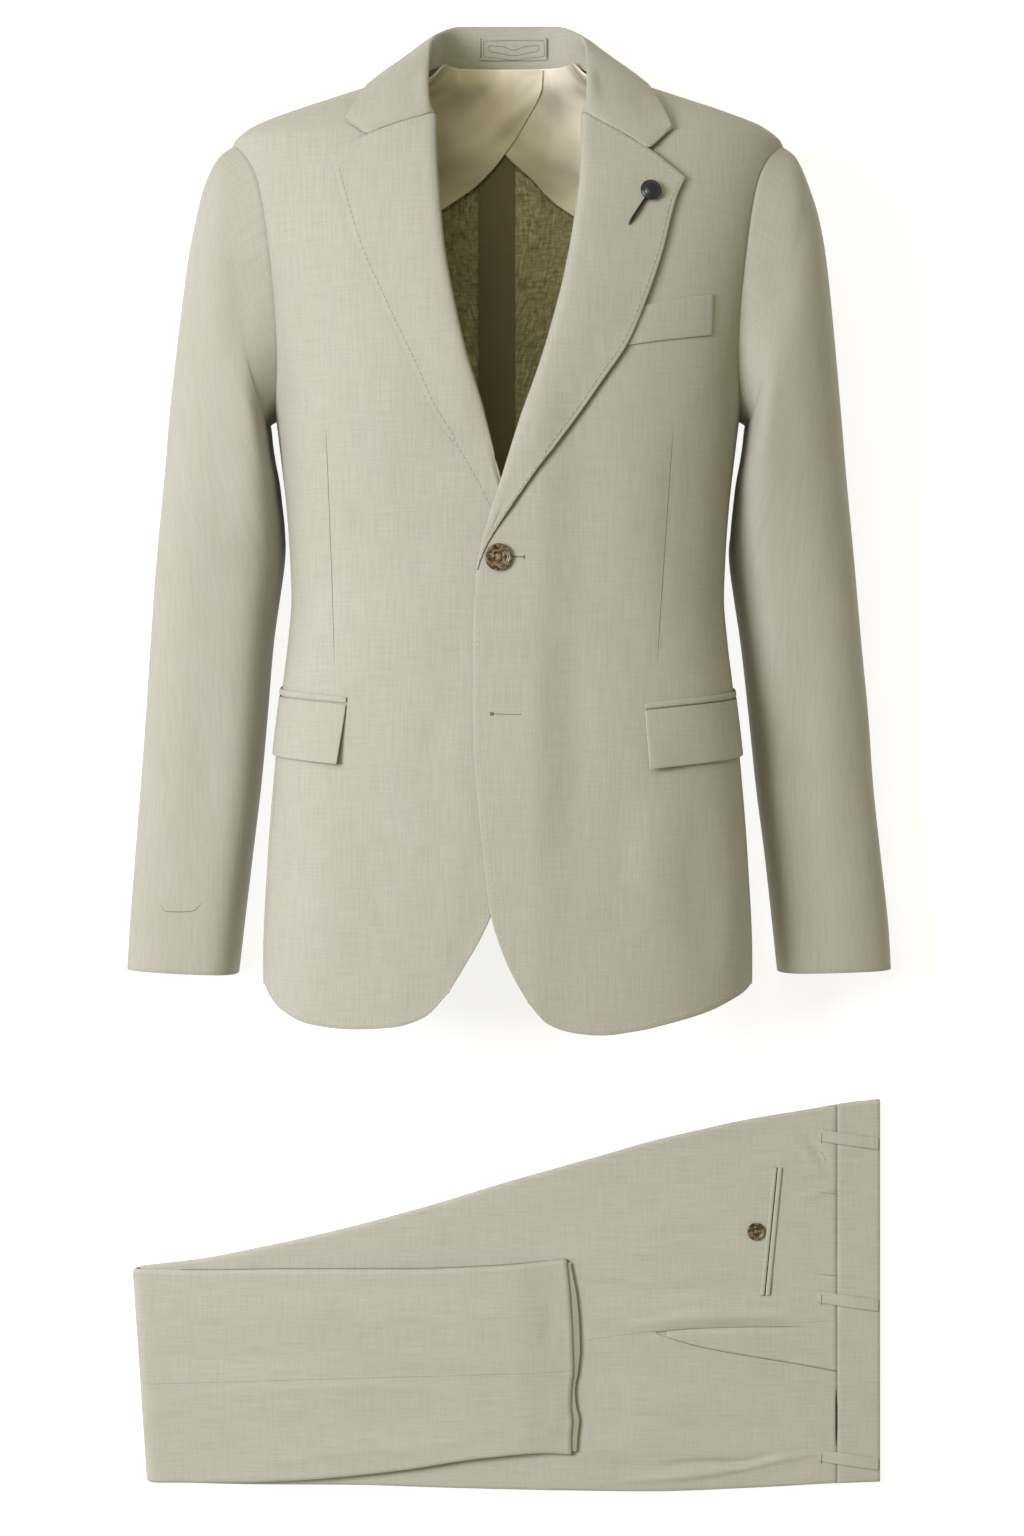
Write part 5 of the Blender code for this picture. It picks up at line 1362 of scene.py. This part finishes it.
# back pocket: two jets beside its slot, x of their sides at the upper and at the lower end
JETS = {"in": ((.2235, .2125), (.2270, .2163)), "out": ((.2278, .2171), (.2315, .2210))}
JET_ENDS = (-.3445, -.4525)
JET_Z, JET_BULGE = .0008, .0006             # height of its middle above the cloth, and of its round
w = np.linspace(0, 1, 8)
for word, sides in JETS.items():
    grid = []
    for t in np.linspace(0, 1, 40):
        low_side, high_side = (upper + (lower - upper) * t for upper, lower in sides)
        y = JET_ENDS[0] + (JET_ENDS[1] - JET_ENDS[0]) * t
        grid.append(row_at(low_side + (high_side - low_side) * w, y,
                           THIGH_Z + JET_Z + JET_BULGE * np.sin(math.pi * w)))
    leg_cloth("pocket_jet_" + word, grid, THIN, "laid", ["trouser_back"], 0)

button("pocket_button", (.2092, -.3985, THIGH_Z + .0005), UP, .0075, .0024, 72)

# hidden layers: loops of the outline, drawn in and stacked, with a groove between two layers
LAYERS = table("inset z", (.0030, 0), (.0012, .0006), (.0012, .0020), (.0032, .0024), (.0012, .0028),
               (.0012, .0046), (.0032, .0050), (.0036, .0070), (.0078, .0086))
# where the turned leg's layers end, the upper ones lie close below its hem
LAYERS_END = table("inset z", (.0050, 0), (.0038, .0006), (.0038, .0020), (.0052, .0026), (.0030, .0032),
                   (.0022, .0050), (.0034, .0062), (.0006, .0070), (.0010, .0080))


def outline(x0, x1, low, high, n, ends):
    xs = np.linspace(x0, x1, n)
    a, b = [(x, edge_y(low, x)) for x in xs], [(x, edge_y(high, x)) for x in xs[::-1]]
    t = np.linspace(0, 1, ends)[1:-1]
    right = [(x1, a[-1][1] + (b[0][1] - a[-1][1]) * k) for k in t]
    left = [(x0, b[-1][1] + (a[0][1] - b[-1][1]) * k) for k in t]
    return a + right + b + left


def layers(node, line, level, squeeze=1.0, ends=None):
    """The edges of the hidden layers, lofted through the loops and closed below and above. ends
    tells for each point how much of the other section it has."""
    o = leaning(line)
    ends = np.zeros(len(o)) if ends is None else ends
    before, after = o - np.roll(o, 1, 0), np.roll(o, -1, 0) - o
    t = unit(unit(before) + unit(after))
    inward = np.stack([-t[:, 1], t[:, 0]], -1)
    at = np.linspace(0, len(LAYERS["z"]) - 1, 33)
    key = np.arange(len(LAYERS["z"]), dtype=float)
    inset, z = ([smooth(key, t[k], at) for t in (LAYERS, LAYERS_END)] for k in ("inset", "z"))
    loops = []
    for k in range(len(at)):
        i, h = (t[0][k] * (1 - ends) + t[1][k] * ends for t in (inset, z))
        loops.append(np.concatenate([o + inward * i[:, None], (level + h * squeeze)[:, None]], 1))
    m, last = len(o), len(o) * (len(loops) - 1)
    verts = np.concatenate(loops + [loops[0].mean(0)[None], loops[-1].mean(0)[None]])
    low, high = len(verts) - 2, len(verts) - 1
    faces = []
    for i in range(m):
        j = (i + 1) % m
        faces += [(k * m + i, k * m + j, (k + 1) * m + j, (k + 1) * m + i) for k in range(len(loops) - 1)]
        faces += [(low, j, i), (high, last + i, last + j)]
    uv = np.stack([verts[:, 1], verts[:, 0] + verts[:, 2]], -1)
    ob = stands_for(mesh_object(node + "_cloth", verts, faces, TROUSER_LINEN_PAINTED_LIGHT, uv), "linen", node)
    flat = np.append(o, o[:1], 0)


layers("thigh_layers", outline(THIGH_END - .0005, .3135, LOW_EDGE, TOP_EDGE, 120, 40), 0)
SHIN_BLOCK = (-.3080, .0500)                # where the layers of the turned leg start and end
AT_HEM = SHIN_BLOCK[1] - .0001
LAYERS_INSIDE, FROM_FOLD = .0016, .03       # they stay this far inside its folds, from this near on
line, ends = outline(*SHIN_BLOCK, SHIN_LOW, SHIN_TOP, 70, 90), []
for k, (x, y) in enumerate(line):
    y += LAYERS_INSIDE * float(np.clip((edge_y(SHIN_SEAM, x) - y) / FROM_FOLD, -1, 1))
    line[k] = (x, y)
    ends.append(float(step(SHIN_BLOCK[1] - .012, AT_HEM, x)))
    if x > AT_HEM:
        line[k] = (float(at_mm(LEG_HEM, "y", "x", y) + at_mm(SECOND_HEM, "y", "out", y)) + .0010, y)
# the layers are lower towards the hem
squeeze = .93 * (1 - .48 * step(.004, .052, np.array(line)[:, 0]))
layers("shin_layers", line, THIGH_Z + .0004, squeeze, np.array(ends))

# turned-back leg: each panel rolls round the knee fold at one end and over a folded edge
KNEE_R, KNEE_HALF = .0125, .0098            # reach and half height of the roll round the knee
HEM_DROP = .0046                            # the turned leg is thinner towards its hem
SHIN_MIDDLE = SHIN_Z - CLOTH / 2
SHIN_WIDE, SHIN_LONG = .08, .35             # about the width and the length of a panel
KNEE_X = -.300                              # the panel's width is taken here at the knee
SHIN_ACROSS = np.concatenate([[0], np.linspace(BESIDE_SEAM / SHIN_WIDE, 1, 40)[:-1]])
# places round the roll, somewhat squarer than a circle
KNEE_ROLL = [(math.cos(a) ** .7, math.copysign(abs(math.sin(a)) ** .7, a))
             for a in np.radians(np.linspace(-50, 80, 18))]


def shin(node, fold_t):
    far, near = edge_y(SHIN_SEAM, KNEE_X), edge_y(fold_t, KNEE_X)
    s = math.copysign(1, near - far)
    grid = []
    for k, e in [(k, BEND) for k in SHIN_ACROSS] + [(1.0, e) for e in NEAR_EDGE]:
        fallen = float(rounded(e))
        squash = 1 - fallen / KNEE_HALF
        start = float(at_mm(KNEE, "y", "x", far + (near - far) * k)) + KNEE_R
        y = far + (near - s * e - far) * k
        row = [(start - KNEE_R * across * (.4 + .6 * squash), y,
                SHIN_MIDDLE - KNEE_HALF + KNEE_HALF * up * squash) for across, up in KNEE_ROLL]
        for u in np.linspace(0, 1, 90):
            x = start + u * SHIN_LONG
            for _ in range(2):
                y = edge_y(SHIN_SEAM, x) + (edge_y(fold_t, x) - s * e - edge_y(SHIN_SEAM, x)) * k
                x = start + (float(at_mm(LEG_HEM, "y", "x", y)) - .0002 - start) * u
            row.append((x, y, SHIN_MIDDLE - fallen - HEM_DROP * float(step(.86, 1, u))))
        grid.append(row)
    leg_cloth(node, grid, CLOTH, "folded", ["shin_layers"], marks=SHIN_FOLDS, **PRESSED_SEAM)


shin("shin_back", SHIN_TOP)
shin("shin_front", SHIN_LOW)

# ---------------------------------------------------------------- stitching, and thin dark lines of painted shade

for side, word in WEARER:
    lapel_runs = [line_on("lapel_" + word, "right", .0034), line_on("lapel_" + word, "high", .0034)]
    stitches("lapel_%s_stitches" % word, lapel_runs)
    # a dark thread along the pick-stitch groove of the lapel's edge: painted shade of the groove
    tube("lapel_%s_groove" % word, [lapel_runs[0][0][4:-2]], .00030, GROOVE_SHADE_THREAD, "linen", 5,
         ((0, .1, .95, 1), (.3, 1, 1, .3)))
    stitches("front_%s_stitches" % word, [line_on("front_" + word, "left", .0042)], .42)
    stitches("hem_%s_stitches" % word, [line_on("front_" + word, "low", .0045)])
stitches("collar_stitches", [line_on("collar", "right", .0042)])


def laid_line(under, points, n, sunk=.0001):
    """A line of places in millimetres, dropped on the cloth."""
    p = along(np.array(points, float) * MM, n)
    return np.concatenate([p, drop(under, p[:, 0], p[:, 1], FROM_ABOVE)[:, None] - sunk], 1)


def sewn(name, under, lines, n, radius, sunk=.0001, sides=6, taper=None, finish=PAINTED_SHADE_THREAD, slot="linen"):
    """Threads or slits along lines of places in millimetres, n places each; by default drawn in the dark
    thread of painted shade.
    """
    tube(name, [laid_line(under, line, n, sunk) for line in lines], radius, finish, slot, sides, taper)


FRONTS, BAND = tree("front_left", "front_right"), tree("collar", "hanger_tab")
SLEEVE_RIGHT = tree("sleeve_top_right")
THIGH = tree("trouser_back", "trouser_front", "pocket_side", "waistband", "belt_loop_1", "belt_loop_2",
             "belt_loop_3")
# the darts: thin dark lines of painted shade in their grooves
sewn("dart_shade_lines", FRONTS, [DARTS[1], DARTS[-1]], 60, .00028, taper=((0, .12, .9, 1), (.5, 1, 1, .4)))
# buttonholes as thin dark lines, painted shade in their slits: the end of the upper one beside its button,
# and the lower one, closed
tube("buttonhole_upper_slit_shade", [laid_line(FRONTS, [(3.4, 156), (13.2, 156)], 9, -.0001),
                          laid_line(FRONTS, [(13.0, 154.6), (13.0, 157.4)], 5, -.0001)],
     .00042, PAINTED_SHADE_THREAD, "linen", 6)
sewn("buttonhole_lower_slit_shade", FRONTS, [[(-11, 34.4), (-2, 34), (10.5, 34)]], 14, .00034)
sewn("buttonhole_eye_shade", FRONTS,
     [[(-12.2 + math.cos(a), 34.3 + math.sin(a)) for a in np.linspace(0, 2 * math.pi, 13)]], 25, .0006, 0)
# a thin dark line of painted shade at the cuff
sewn("cuff_shade_line", SLEEVE_RIGHT, [[(-283, -119), (-280, -124.5), (-268, -125), (-256, -124), (-249, -117)]],
     40, .00030, 0, 5, ((0, .3, .8, 1), (.4, 1, 1, .4)))
# hanger tab: a stitched outline with a point in the middle, and a bar at each end, drawn in the dark shade
# colour: the stitches with their painted shade
TAB_LINES = [
    [(-20, 598.5), (-20.6, 586.6), (-8, 585), (5, 583.4), (18, 585), (30.6, 586.6), (30, 598.5)],
    [(-16, 595), (-15.6, 591), (-6, 588.8), (5, 587), (16, 588.8), (25.6, 591), (26, 595)],
    [(-20, 598.5), (5, 599), (30, 598.5)], [(-16, 595), (-4, 594), (5, 591.5), (14, 594), (26, 595)]]
sewn("hanger_tab_thread_and_shade", BAND, TAB_LINES, 40, .00022, 0, 5, slot="lining")
sewn("hanger_tab_bars_and_shade", BAND, [[(x, 600.5), (x, 585)] for x in (-22.5, 32.5)], 12, .00046, 0, slot="lining")
# trousers: the slot between the jets, the coin pocket's slit, two short darts and the loops' bars, all thin
# dark lines: painted shade in the slot, the slit and the darts' grooves, and the bars' stitches drawn dark
# with painted shade at the loops' ends
SLOT = [((JETS["in"][1][k] + JETS["out"][0][k]) / 2 / MM, JET_ENDS[k] / MM) for k in (0, 1)]
sewn("pocket_slot_shade", THIGH, [SLOT], 30, .00062, -.0001, 6, ((0, .1, .6, 1), (.3, .7, 1, .8)), SLOT_SHADE_THREAD)
sewn("coin_pocket_slit_shade", THIGH, [[(276.8, -532), (277.2, -555), (276.8, -579)]], 24, .00095, -.0001, 6,
     ((0, .3, .7, 1), (.3, 1, 1, .3)), SLOT_SHADE_THREAD)
# a thin dark line of painted shadow where the turned leg's upper fold meets the thigh
TURNED_EDGE_SHADOW = [(x, (edge_y(SHIN_TOP, x * MM) + .0002) / MM) for x in range(-276, 43, 11)]
sewn("turned_edge_shadow_line", THIGH, [TURNED_EDGE_SHADOW], 120, .00042, finish=GROOVE_SHADE_THREAD)
TROUSER_SHADE_MARKS = [[(277, -367), (264, -365.5), (252, -364)], [(277, -436), (262, -435), (252, -434)],
                 [(264, -331), (268, -338), (270, -345)]]
sewn("trouser_shade_marks", THIGH, TROUSER_SHADE_MARKS, 12, .00022, sides=5, taper=((0, .3, 1), (1, 1, .2)))
# a thin dark line of painted shade along the side seam
SEAM_SHADE_LINE = [(112, -484), (130, -483), (150, -481), (195, -479.6), (235, -479), (254, -479.4)]
sewn("side_seam_shade_line", THIGH, [SEAM_SHADE_LINE], 50, .00055, finish=GROOVE_SHADE_THREAD,
     taper=((0, .2, .85, 1), (.2, 1, .9, .2)))
sewn("loop_bars_and_shade", THIGH, [[(264.5, y / MM + 5.3), (264.5, y / MM - 3.6)] for y in LOOP_Y], 8, .00022,
     -.0001, 5)

# ---------------------------------------------------------------- floor, light and camera


FLOOR = 6                                   # half its width
UNDER_ALL = .0002                           # how far it lies below the lowest piece


def floor():
    mesh = bpy.data.meshes.new("floor")
    mesh.from_pydata([(-FLOOR, -FLOOR, 0), (FLOOR, -FLOOR, 0), (FLOOR, FLOOR, 0), (-FLOOR, FLOOR, 0)], [],
                     [(0, 1, 2, 3)])
    ob = bpy.data.objects.new("floor", mesh)
    bpy.context.scene.collection.objects.link(ob)
    ob.location.z = CAD_BOX[0].z - UNDER_ALL
    m = Finish("paper", .9)
    where = m.node("ShaderNodeTexCoord").outputs["Object"]
    m.shade((.45, .45, .45), m.around(m.noise(m.stretched(where, 40, 40, 40)), .004))
    m.fixed(Emission_Color=(1, 1, 1, 1), Emission_Strength=.80, Specular_IOR_Level=.1)
    mesh.materials.append(m.made)


def soft_light(name, place, target, wide, tall, power, colour):
    lamp = bpy.data.lights.new(name, "AREA")
    lamp.shape, lamp.size, lamp.size_y, lamp.energy, lamp.color = "RECTANGLE", wide, tall, power, colour
    ob = bpy.data.objects.new(name, lamp)
    ob.location = place
    ob.rotation_euler = (Vector(target) - Vector(place)).to_track_quat("-Z", "Y").to_euler()
    bpy.context.scene.collection.objects.link(ob)


floor()
soft_light("key", (-1.55, .32, 2.15), MIDDLE, 1.0, 1.0, 67, (.87, .875, .98))
soft_light("high_fill", (-1.00, 2.10, 4.50), MIDDLE, 2.0, 2.0, 50, (1, .96, .80))
world = bpy.data.worlds.new("room")
world.use_nodes = True
background = world.node_tree.nodes["Background"]
background.inputs["Color"].default_value = (1, .94, .55, 1)
background.inputs["Strength"].default_value = .27
scene = bpy.context.scene
scene.world = world
scene.view_settings.view_transform = "Standard"

# the camera looks straight down, and its sensor and lens are given in millimetres
SENSOR, LENS = 36, 66.375
SEEN_FROM = (.0026, -.0038, 2.4)
camera = bpy.data.cameras.new("camera")
camera.sensor_width = SENSOR
camera.lens = LENS
seen_from = bpy.data.objects.new("camera", camera)
seen_from.location = SEEN_FROM
scene.collection.objects.link(seen_from)
scene.camera = seen_from
